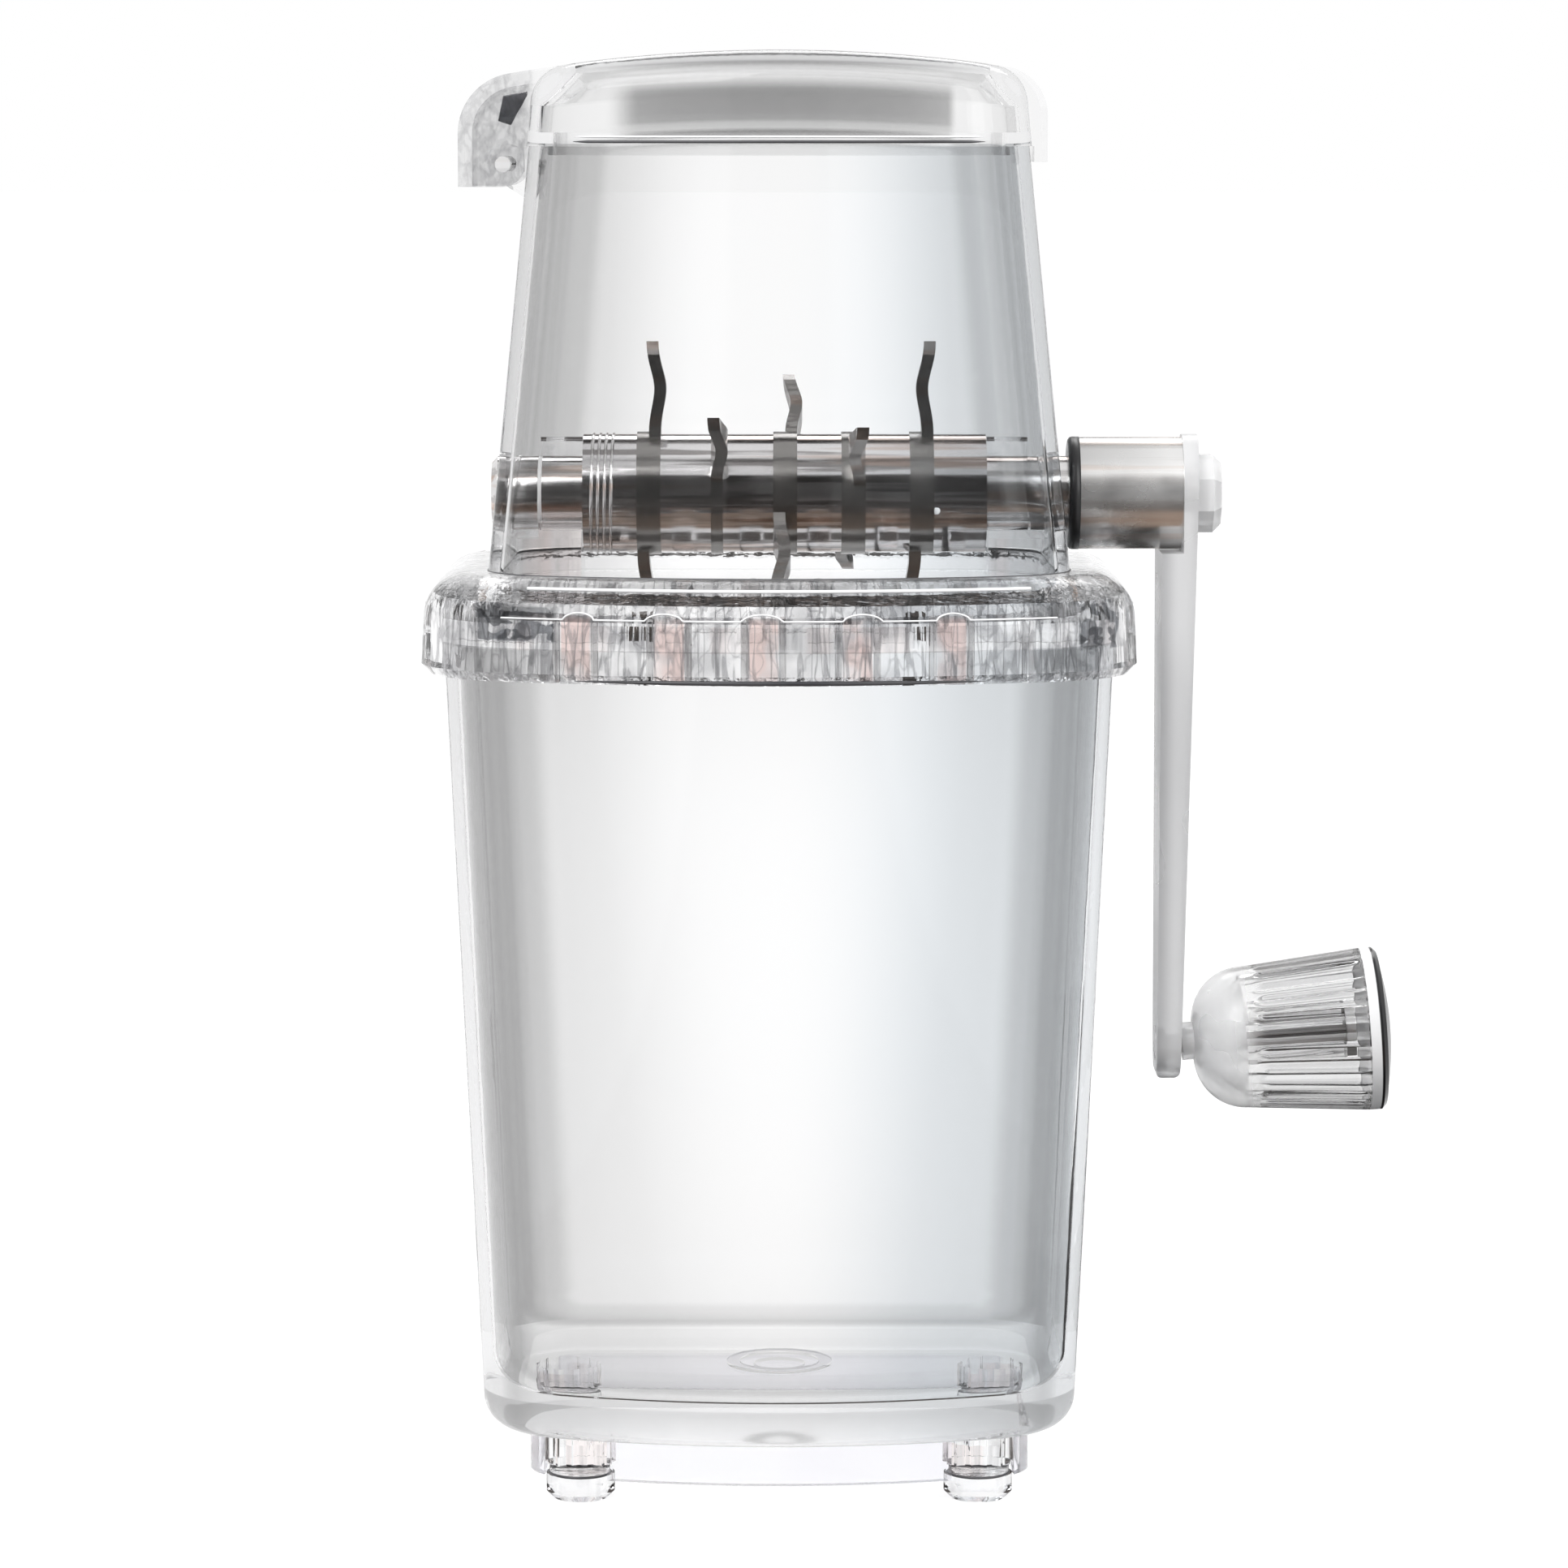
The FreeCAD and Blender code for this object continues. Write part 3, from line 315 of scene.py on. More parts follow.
class Coat(Tree):
    """Tree of a material, with the patterns that the finishes share."""

    def __init__(self, name: str) -> None:
        """Starts a new material.

        Args:
            name: Name of the material.
        """
        self.material = bpy.data.materials.new(name)
        self.material.use_nodes = True
        super().__init__(self.material.node_tree)
        self.place = self.node("ShaderNodeTexCoord").outputs["Object"]

    def stretched(self, scale: Point) -> bpy.types.NodeSocket:
        """Object coordinates scaled along each axis."""
        made = self.node("ShaderNodeMapping", None, {"Vector": self.place, "Scale": scale})
        return made.outputs["Vector"]

    def noise(self, scale: float, detail: float = 2.0, place: bpy.types.NodeSocket | None = None) -> Value:
        """Cloudy pattern.

        Args:
            scale: Number of features to the metre.
            detail: Octaves.
            place: Coordinates, or none for the object's own.

        Returns:
            Values round 0.5.
        """
        made = self.node("ShaderNodeTexNoise", None, {
            "Vector": place or self.place, "Scale": scale, "Detail": detail, "Roughness": 0.5,
        })
        return Value(self, made.outputs["Fac"])

    def facing(self) -> Value:
        """0 where the surface faces the eye, 1 where it is seen edge on."""
        made = self.node("ShaderNodeLayerWeight", None, {"Blend": 0.5})
        return Value(self, made.outputs["Facing"])

    def bump(self, height: Value, depth: float) -> bpy.types.NodeSocket:
        """Relief from a height pattern.

        Args:
            height: Pattern from 0 to 1.
            depth: Height in metres that the whole range stands for.

        Returns:
            The normal.
        """
        made = self.node("ShaderNodeBump", None, {"Height": height, "Distance": depth, "Strength": 1.0})
        return made.outputs["Normal"]

    def axis(self, name: str) -> Value:
        """One of the object coordinates, in metres."""
        return Value(self, self.node("ShaderNodeSeparateXYZ", None, {"Vector": self.place}).outputs[name])

    def level_faces(self) -> Value:
        """1 on faces that lie level, 0 on those that stand."""
        normal = self.node("ShaderNodeTexCoord").outputs["Normal"]
        upward = Value(self, self.node("ShaderNodeSeparateXYZ", None, {"Vector": normal}).outputs["Z"])
        return self.math("ABSOLUTE", upward, 0.0).over(LEVEL_NORMAL)

    def about(self, pivot: Point, lean: float) -> tuple[Value, Value, Value]:
        """Coordinates along and across an axis that leans from +X towards +Z.

        Args:
            pivot: Point on the axis.
            lean: Its angle over the X axis, in radians.

        Returns:
            Distance along the axis, to its side and over it, in metres.
        """
        centred = self.node("ShaderNodeVectorMath", {"operation": "SUBTRACT"}, {0: self.place, 1: pivot})
        level = self.node("ShaderNodeVectorRotate", {"rotation_type": "Y_AXIS"}, {
            "Vector": centred.outputs["Vector"], "Angle": lean,
        })
        split = self.node("ShaderNodeSeparateXYZ", None, {"Vector": level.outputs["Vector"]})
        along, side, over = (Value(self, split.outputs[axis]) for axis in "XYZ")
        return along, side, over

    def within(self, value: Value, low: float, high: float, soft: float) -> Value:
        """1 where a value lies between two limits, falling to 0 over a soft edge outside them."""
        return (self.spread(value, low - soft, low, 0.0, 1.0, "LINEAR")
                * self.spread(value, high, high + soft, 1.0, 0.0, "LINEAR"))

    def joints(self, levels: tuple[float, ...], sides: float = 0.0) -> Value | None:
        """1 on faces that lie against another clear part, or none where there are none.

        Args:
            levels: Heights of its level joint faces, in metres.
            sides: Distance from the middle along X from where its faces are joint faces, or 0.

        Returns:
            The mask.
        """
        masks: list[Value] = []
        for level in levels:
            band = self.within(self.axis("Z"), level - JOINT_HALF, level + JOINT_HALF, JOINT_SOFT)
            masks.append(band * self.level_faces())
        if sides:
            masks.append(self.math("ABSOLUTE", self.axis("X"), 0.0).over(sides))
        if not masks:
            return None
        total = masks[0]
        for mask in masks[1:]:
            total = total + mask
        return total.clamped()

    def surface(self, inputs: dict[str, Any], depth: Colour | None = None, density: float = 0.0,
                joint: Value | None = None) -> bpy.types.Node:
        """Ends the tree in a Principled shader.

        Args:
            inputs: The shader's inputs by name.
            depth: Colour of thick plastic, or none for a surface alone.
            density: Density of that colour.
            joint: Mask of faces that lie against another clear part, where light goes straight through.

        Returns:
            The shader.
        """
        shader = self.node("ShaderNodeBsdfPrincipled", None, inputs)
        face = shader.outputs["BSDF"]
        if joint is not None:
            clear = self.node("ShaderNodeBsdfTransparent")
            face = self.node("ShaderNodeMixShader", None, {0: joint, 1: face, 2: clear.outputs[0]}).outputs[0]
        self.output = self.node("ShaderNodeOutputMaterial", None, {"Surface": face})
        if depth:
            inside = self.node("ShaderNodeVolumeAbsorption", None, {
                "Color": opaque(depth), "Density": density,
            })
            self.feed(self.output.inputs["Volume"], inside.outputs["Volume"])
        return shader


# ---------------------------------------------------------------- finishes

Stops = tuple[tuple[float, float], ...]


def greys(stops: Stops, cast: Colour = (1.0, 1.0, 1.0)) -> list[tuple[float, Colour]]:
    """Turns positions and lightnesses into positions and colours of one cast."""
    return [(place, (cast[0] * light, cast[1] * light, cast[2] * light)) for place, light in stops]


@dataclass(frozen=True)
class ThinWall:
    """Clear moulded wall with painted shade where it is seen at a slant: a light band and a grey outline.

    Args:
        slant: Painted shade of the wall, with its light band, against how far it turns away from the eye.
        floor: Top of the solid floor, or 0 for a wall without one.
        foot: Underside of the solid floor.
        edge: Lightness of the floor's edge from its underside to its top, painted shade of the thick floor
            seen edge on.
        cast: Tint of the wall on the crank's side.
        index: Refractive index.
        gloss: Weight of the clear gloss on top.
        density: Density of the plastic's own grey.
        joints: Heights of the level faces that lie against another clear part.
        cast_run: X where the tint on the crank's side starts, and where it is full.
        side_run: Distance from the middle where the floor's painted shade starts to darken, and where it is
            darkest.
        side_share: Share of the dark grey there.
        side_grey: The dark grey of that painted shade.
        rear_run: Y where the floor's edge starts to clear, and where it is clear.
        rear_grey: Colour of its clear stretch.
        level_grey: Colour of the floor's level faces.
        smoke: Colour of the wall's clouds.
        plastic: Colour of thick plastic.
    """

    slant: Stops = (
        (0.0, 0.955), (0.012, 0.955), (0.022, 0.925), (0.035, 0.85), (0.05, 0.77), (0.075, 0.715),
        (0.14, 0.68), (0.20, 0.61), (0.29, 0.47), (0.37, 0.56), (0.46, 0.82), (0.62, 0.84), (0.82, 0.78),
        (0.94, 0.45), (1.0, 0.2),
    )
    floor: float = 0.0178
    foot: float = 0.0109
    edge: Stops = ((0.0, 0.97), (0.12, 0.93), (0.35, 0.84), (0.7, 0.68), (0.92, 0.54), (1.0, 0.60))
    cast: Colour = (0.945, 0.965, 0.98)
    index: float = 1.035
    gloss: float = 0.2
    density: float = 9.0
    joints: tuple[float, ...] = ()
    cast_run: tuple[float, float] = (0.0, 0.03)
    side_run: tuple[float, float] = (0.012, 0.044)
    side_share: float = 0.75
    side_grey: Colour = (0.30, 0.30, 0.30)
    rear_run: tuple[float, float] = (0.005, 0.03)
    rear_grey: Colour = (0.95, 0.95, 0.95)
    level_grey: Colour = (0.985, 0.985, 0.985)
    smoke: Colour = (0.90, 0.895, 0.90)
    plastic: Colour = (0.80, 0.80, 0.81)

    def tint(self, coat: Coat) -> bpy.types.NodeSocket:
        """Colour of the wall."""
        # painted shade: darker, with a light band, as the wall turns away from the eye
        wall = coat.ramp(coat.facing(), greys(self.slant), "LINEAR")
        if self.floor:
            wall = coat.mixed(coat.axis("Z").over(self.floor), self.slab(coat), wall)
        return coat.mixed(coat.spread(coat.axis("X"), *self.cast_run, 0.0, 1.0), wall,
                          coat.mixed(1.0, wall, self.cast, "MULTIPLY"))

    def slab(self, coat: Coat) -> bpy.types.NodeSocket:
        """Colour of the solid floor: clear where it lies level, painted shade round its edge."""
        height = coat.spread(coat.axis("Z"), self.foot, self.floor, 0.0, 1.0, "LINEAR")
        # painted shade: the thick floor's edge greys towards its top and the sides, and clears towards the
        # back
        edge = coat.ramp(height, greys(self.edge), "LINEAR")
        sides = coat.spread(coat.math("ABSOLUTE", coat.axis("X"), 0.0), *self.side_run, 0.0, self.side_share)
        edge = coat.mixed(sides, edge, self.side_grey)
        rear = coat.spread(coat.axis("Y"), *self.rear_run, 0.0, 1.0)
        edge = coat.mixed(rear, edge, self.rear_grey)
        return coat.mixed(coat.level_faces(), edge, self.level_grey)

    def material(self, name: str) -> bpy.types.Material:
        """Builds the material."""
        coat = Coat(name)
        cloud = coat.noise(14.0)
        coat.surface({
            "Base Color": coat.mixed(cloud * 0.05, self.tint(coat), self.smoke),
            "Roughness": coat.varied(cloud, 0.02, 0.06),
            "IOR": self.index,
            "Transmission Weight": 1.0,
            "Coat Weight": self.gloss,
            "Coat Roughness": 0.04,
            "Normal": coat.bump(coat.noise(40.0, 1.0), 0.00003),
        }, self.plastic, self.density, coat.joints(self.joints))
        return coat.material


@dataclass(frozen=True)
class ShadedLid(ThinWall):
    """Wall of the lid, with painted shade and a painted highlight line across its front, and light and dark
    lines at its edges.

    The fields that it shares with ThinWall mean the same here.

    Args:
        low: Height where the height patterns start, in metres.
        high: Height where they end.
        band: Lightness of the front's middle over that range: painted shade with a painted highlight line.
        ends: Lightness of the front's ends over that range, painted shade too.
        band_left: Left end of the band, in metres.
        band_right: Its right end.
        left_soft: Width of the band's left edge.
        right_soft: Width of its right edge.
        drop: How much lower the lines run beside the middle, in metres for each square metre.
        front_run: Y up to which the pattern is full, and where it ends.
        pattern_run: Left and right end of the pattern, in metres.
        lug_run: X up to which the lug's grey is full, and where it ends.
        lug_marks: Scale of the lug's marks along each axis, in marks to the metre.
        lug_grey: Colour of the lug's marks.
    """

    low: float = 0.2240
    high: float = 0.2390
    band: Stops = (
        (0.0, 0.86), (0.04, 0.80), (0.075, 0.52), (0.12, 0.88), (0.16, 0.36), (0.20, 0.31), (0.24, 0.62),
        (0.29, 0.57), (0.33, 0.39), (0.42, 0.34), (0.60, 0.31), (0.66, 0.36), (0.72, 0.58), (0.80, 0.91),
        (0.86, 0.96), (0.90, 0.66), (0.945, 0.16), (0.97, 0.5), (1.0, 0.62),
    )
    ends: Stops = (
        (0.0, 0.75), (0.06, 0.55), (0.11, 0.70), (0.16, 0.62), (0.20, 0.88), (0.30, 0.92), (0.60, 0.93),
        (0.80, 0.93), (0.90, 0.66), (0.945, 0.20), (0.97, 0.6), (1.0, 0.7),
    )
    band_left: float = -0.0285
    band_right: float = 0.0290
    left_soft: float = 0.006
    right_soft: float = 0.0018
    drop: float = 1.2
    front_run: tuple[float, float] = (-0.03, -0.02)
    pattern_run: tuple[float, float] = (-0.042, 0.041)
    lug_run: tuple[float, float] = (-0.0425, -0.0405)
    lug_marks: Point = (330.0, 330.0, 200.0)
    lug_grey: Colour = (0.42, 0.42, 0.43)
    # painted shade: the lid's wall darkens as it turns away from the eye
    slant: Stops = (
        (0.0, 0.985), (0.05, 0.97), (0.3, 0.93), (0.6, 0.89), (0.82, 0.78), (0.93, 0.52), (1.0, 0.16),
    )
    index: float = 1.05
    joints: tuple[float, ...] = (0.2245,)
    gloss: float = 0.25

    def tint(self, coat: Coat) -> bpy.types.NodeSocket:
        """Colour of the wall."""
        along = coat.axis("X")
        bowed = coat.axis("Z") + along * along * self.drop
        level = coat.spread(bowed, self.low, self.high, 0.0, 1.0, "LINEAR")
        inside = (coat.spread(along, self.band_left, self.band_left + self.left_soft, 0.0, 1.0)
                  * coat.spread(along, self.band_right - self.right_soft, self.band_right, 1.0, 0.0))
        # painted shade and a painted highlight line in a band across the front, by height
        pattern = coat.mixed(inside, coat.ramp(level, greys(self.ends), "LINEAR"),
                             coat.ramp(level, greys(self.band), "LINEAR"))
        front = coat.spread(coat.axis("Y"), *self.front_run, 1.0, 0.0)
        pattern = coat.mixed(front * coat.within(along, *self.pattern_run, 0.002), (1.0, 1.0, 1.0), pattern)
        wall = coat.mixed(1.0, coat.ramp(coat.facing(), greys(self.slant), "LINEAR"), pattern, "MULTIPLY")
        lug = coat.spread(along, *self.lug_run, 1.0, 0.0)
        marks = coat.noise(1.0, 3.0, coat.stretched(self.lug_marks))
        return coat.mixed(lug * (coat.within(marks, 0.50, 0.54, 0.05) * 0.35 + 0.26), wall, self.lug_grey)


DEEP_ACRYLIC: Colour = (0.80, 0.80, 0.82)


@dataclass(frozen=True)
class Crystal:
    """Thick clear acrylic with moulded ribs that run up and down, and painted dark and warm streaks for the
    light they refract.

    Args:
        streak: Tint of the painted dark streaks.
        blush: Tint of the painted warm streaks.
        share: Share of the surface that the streaks take.
        high: Height over which there are no streaks, in metres.
        marks: Scale of the streaks along each axis, in streaks to the metre.
        index: Refractive index.
        relief: Depth of the streaks in metres.
        density: Density of the plastic's own grey.
        joints: Heights of the level faces that lie against another clear part.
        sides: Distance from the middle along X from where its faces lie against another part, or 0.
        clear: Colour of the plastic between streaks and blush.
    """

    streak: Colour = (0.36, 0.36, 0.37)
    blush: Colour = (0.93, 0.84, 0.82)
    share: float = 0.4
    high: float = 1.0
    marks: Point = (620.0, 620.0, 14.0)
    index: float = 1.40
    relief: float = 0.00012
    density: float = 3.0
    joints: tuple[float, ...] = ()
    sides: float = 0.0
    clear: Colour = (0.99, 0.99, 0.992)

    def material(self, name: str) -> bpy.types.Material:
        """Builds the material."""
        coat = Coat(name)
        lines = coat.noise(1.0, 2.0, coat.stretched(self.marks))
        wide = coat.noise(1.0, 1.0, coat.stretched(tuple(mark / 5 for mark in self.marks)))
        inside = 1.0 - coat.axis("Z").over(self.high)
        dark = coat.spread(lines, 0.60 - self.share * 0.3, 0.78 - self.share * 0.3, 0.0, 1.0) * inside
        warm = coat.spread(wide, 0.52, 0.62, 0.0, 1.0) * inside
        # painted refraction: dark streaks along the ribs and warm streaks
        tint = coat.mixed(warm, self.clear, self.blush)
        tint = coat.mixed(dark * self.share, tint, self.streak)
        coat.surface({
            "Base Color": tint,
            "Roughness": coat.varied(wide, 0.01, 0.05),
            "IOR": self.index,
            "Transmission Weight": 1.0,
            "Normal": coat.bump(lines, self.relief),
        }, DEEP_ACRYLIC, self.density, coat.joints(self.joints, self.sides))
        return coat.material


@dataclass(frozen=True)
class ArchedCrystal:
    """Clear acrylic with arches in relief across its front, painted shade in streaks, patches and warm blush,
    and dark snaps at its ends.

    Args:
        low: Height where the arches start, in metres.
        high: Height where they end.
        top: Height where the streaks end.
        front: Y behind which there are none.
        first: X of the first arch's middle.
        pitch: Distance between two arches.
        half: Half the width of an arch.
        line: Half the width of an arch's outline.
        reach: How far from the middle the arches go.
        snaps: Left, right, low and high edge of each dark snap.
        index: Refractive index.
        line_marks: Scale of the fine streaks along each axis, in streaks to the metre.
        blot_marks: The same of the blots.
        patch_marks: The same of the grey patches.
        facet_marks: The same of the facets in the snaps.
        clear: Colour of the plastic.
        grey: Colour of the patches.
        blush: Colour inside the arches.
        dark: Colour of the streaks.
        rim: Colour of the arches' outlines.
        snap: Colour of the snaps.
        line_band: Values of the fine noise that make a streak.
        blot_band: Values of the blots' noise that make one.
        band_soft: How softly the streaks start and end, in values of their noise.
        front_soft: Length over which the pattern ends behind the front, in metres.
        edge_soft: Soft edge of the pattern's top and bottom, in metres.
        snap_soft: Soft edge of the snaps, in metres.
        snap_front: Y up to which the snaps are dark, and where they end.
        blush_share: Share of the blush in the arches.
        dark_share: Share of the dark colour in the streaks.
        relief: Depth of the moulded relief, in metres.
        density: Density of the acrylic's own grey.
    """

    low: float = 0.1392
    high: float = 0.1488
    top: float = 0.1532
    front: float = -0.030
    first: float = -0.0327
    pitch: float = 0.0151
    half: float = 0.0031
    line: float = 0.00035
    reach: float = 0.0385
    snaps: tuple[tuple[float, float, float, float], ...] = (
        (-0.0487, -0.0363, 0.1453, 0.1506), (0.0487, 0.0559, 0.1436, 0.1506),
    )
    index: float = 1.28
    line_marks: Point = (420.0, 420.0, 40.0)
    blot_marks: Point = (170.0, 170.0, 120.0)
    patch_marks: Point = (140.0, 140.0, 160.0)
    facet_marks: Point = (300.0, 300.0, 420.0)
    clear: Colour = (0.985, 0.985, 0.988)
    grey: Colour = (0.62, 0.62, 0.63)
    blush: Colour = (0.82, 0.64, 0.60)
    dark: Colour = (0.16, 0.16, 0.17)
    rim: Colour = (0.24, 0.23, 0.23)
    snap: Colour = (0.05, 0.055, 0.065)
    line_band: tuple[float, float] = (0.47, 0.50)
    blot_band: tuple[float, float] = (0.55, 0.56)
    band_soft: float = 0.02
    front_soft: float = 0.004
    edge_soft: float = 0.0006
    snap_soft: float = 0.0003
    snap_front: tuple[float, float] = (-0.005, 0.0)
    blush_share: float = 0.8
    dark_share: float = 0.72
    relief: float = 0.00022
    density: float = 3.0

    def material(self, name: str) -> bpy.types.Material:
        """Builds the material."""
        coat = Coat(name)
        across, depth, height = coat.axis("X"), coat.axis("Y"), coat.axis("Z")
        lines = coat.noise(1.0, 2.0, coat.stretched(self.line_marks))
        blots = coat.noise(1.0, 2.0, coat.stretched(self.blot_marks))
        turns = (across - self.first) / self.pitch + 0.5
        offset = coat.math("ABSOLUTE", (coat.math("FRACT", turns, 0.0) - 0.5) * self.pitch, 0.0)
        front = coat.spread(depth, self.front, self.front + self.front_soft, 1.0, 0.0)
        zone = coat.within(height, self.low, self.top, self.edge_soft) * front
        arched = (coat.within(height, self.low, self.high, self.edge_soft) * front
                  * coat.within(across, -self.reach, self.reach, 0.003))
        outline = coat.within(offset, self.half - self.line, self.half + self.line, 0.0002) * arched
        fill = (coat.within(offset, -1.0, self.half - 0.0009, 0.0004) * arched
                * coat.spread(blots, 0.42, 0.55, 0.0, 1.0))
        crossing = (coat.within(lines, *self.line_band, self.band_soft)
                    + coat.within(blots, *self.blot_band, self.band_soft) * 0.6)
        dark = (crossing * zone).clamped()
        patches = coat.noise(1.0, 1.0, coat.stretched(self.patch_marks))
        grey = coat.spread(patches, 0.42, 0.60, 0.0, 0.85) * zone
        # painted refraction: grey patches, warm blush in the arches, dark streaks and dark arch outlines
        tint = coat.mixed(grey, self.clear, self.grey)
        tint = coat.mixed(fill * self.blush_share, tint, self.blush)
        tint = coat.mixed(dark * self.dark_share, tint, self.dark)
        tint = coat.mixed(outline * coat.spread(blots, 0.4, 0.55, 0.25, 0.6), tint, self.rim)
        facets = coat.noise(1.0, 1.0, coat.stretched(self.facet_marks))
        for left, right, under, top in self.snaps:
            inside = (coat.within(across, left, right, self.snap_soft)
                      * coat.within(height, under, top, self.snap_soft))
            inside = inside * coat.spread(depth, *self.snap_front, 1.0, 0.0)
            tint = coat.mixed(inside * coat.spread(facets, 0.47, 0.50, 0.92, 0.2), tint, self.snap)
        coat.surface({
            "Base Color": tint,
            "Roughness": coat.varied(blots, 0.01, 0.05),
            "IOR": self.index,
            "Transmission Weight": 1.0,
            "Normal": coat.bump(lines + outline, self.relief),
        }, DEEP_ACRYLIC, self.density)
        return coat.material


KNOB_PIVOT: Point = (0.067904, 0.0, 0.0731)
KNOB_LEAN = 0.06981       # angle of the knob's axis over the X axis, in radians


@dataclass(frozen=True)
class RibbedBell:
    """Clear bell that is milky at its dome, with painted stripes of shade along its ribs and painted shade
    towards its outline.

    Args:
        pivot: Point on the bell's axis.
        lean: Angle of the axis over the X axis, in radians.
        ribs: Number of ribs.
        milky: How far from the pivot the milk ends, in metres.
        clear: How far from the pivot the bell is clear.
        end: Where the stripes end.
        stripe_grey: Colour of the painted stripes of shade.
        stripe_share: Share of that grey in a stripe.
        slant: Painted shade by how much the face turns away.
        rib_depth: Depth of the ribs' relief, in metres.
        milk: Colour of the dome.
        milk_shade: Colour of its cloudy variation.
        milk_share: Share of the milk at the dome.
        index: Refractive index of the clear part.
        milk_index: Refractive index of the dome.
        milk_through: Share of light that passes the dome.
    """

    pivot: Point = KNOB_PIVOT
    lean: float = KNOB_LEAN
    ribs: float = 26.0
    milky: float = 0.006
    clear: float = 0.0145
    end: float = 0.0305
    stripe_grey: Colour = (0.38, 0.38, 0.39)
    stripe_share: float = 0.42
    slant: Stops = ((0.0, 0.97), (0.25, 0.90), (0.5, 0.72), (0.72, 0.42), (0.9, 0.22), (1.0, 0.12))
    rib_depth: float = 0.00015
    milk: Colour = (0.985, 0.985, 0.99)
    milk_shade: Colour = (0.85, 0.85, 0.86)
    milk_share: float = 0.8
    index: float = 1.12
    milk_index: float = 1.25
    milk_through: float = 0.55

    def material(self, name: str) -> bpy.types.Material:
        """Builds the material."""
        coat = Coat(name)
        along, side, upright = coat.about(self.pivot, self.lean)
        turn = coat.math("ARCTAN2", side, upright)
        wave = coat.math("SINE", turn * self.ribs, 0.0)
        cloud = coat.noise(60.0)
        # painted shade: dark stripes along the ribs, and darker where the face turns away
        striped = coat.within(along, self.clear, self.end, 0.002)
        stripe = coat.spread(wave + (cloud - 0.5), -0.2, 0.5, 0.0, 1.0) * striped
        slant = coat.ramp(coat.facing(), greys(self.slant), "LINEAR")
        tint = coat.mixed(stripe * self.stripe_share, slant, self.stripe_grey)
        glass = coat.surface({
            "Base Color": tint,
            "Roughness": coat.varied(cloud, 0.015, 0.05),
            "IOR": self.index,
            "Transmission Weight": 1.0,
            "Coat Weight": 0.5,
            "Coat Roughness": 0.06,
            "Normal": coat.bump(wave * striped, self.rib_depth),
        })
        haze = coat.node("ShaderNodeBsdfPrincipled", None, {
            "Base Color": coat.mixed(cloud * 0.1, self.milk, self.milk_shade),
            "Roughness": coat.varied(cloud, 0.25, 0.35),
            "Transmission Weight": self.milk_through,
            "IOR": self.milk_index,
        })
        share = coat.spread(along, self.milky, self.clear, self.milk_share, 0.0)
        both = coat.node("ShaderNodeMixShader", None, {
            0: share, 1: glass.outputs["BSDF"], 2: haze.outputs["BSDF"],
        })
        coat.feed(coat.output.inputs["Surface"], both.outputs[0])
        return coat.material


@dataclass(frozen=True)
class FrostedPlastic:
    """Milky plastic with a satin face.

    Args:
        milk: Main colour.
        shade: Colour of its cloudy variation and of the strip.
        through: Share of light that passes.
        roughness: Roughness of the face.
        strip: Where a shaded strip along one side starts and ends, as X in metres.
    """

    milk: Colour = (0.90, 0.90, 0.905)
    shade: Colour = (0.52, 0.52, 0.53)
    through: float = 0.4
    roughness: float = 0.3
    strip: tuple[float, ...] = ()

    def material(self, name: str) -> bpy.types.Material:
        """Builds the material."""
        coat = Coat(name)
        cloud = coat.noise(30.0)
        tint: Colour | bpy.types.NodeSocket = self.milk
        if self.strip:
            start, end = self.strip
            tint = coat.mixed(coat.spread(coat.axis("X"), start, end, 0.7, 0.0), self.milk, self.shade)
        coat.surface({
            "Base Color": coat.mixed(cloud * 0.12, tint, self.shade),
            "Roughness": coat.varied(cloud, self.roughness - 0.05, self.roughness + 0.06),
            "IOR": 1.45,
            "Transmission Weight": self.through,
            "Normal": coat.bump(coat.noise(900.0), 0.00002),
        })
        return coat.material


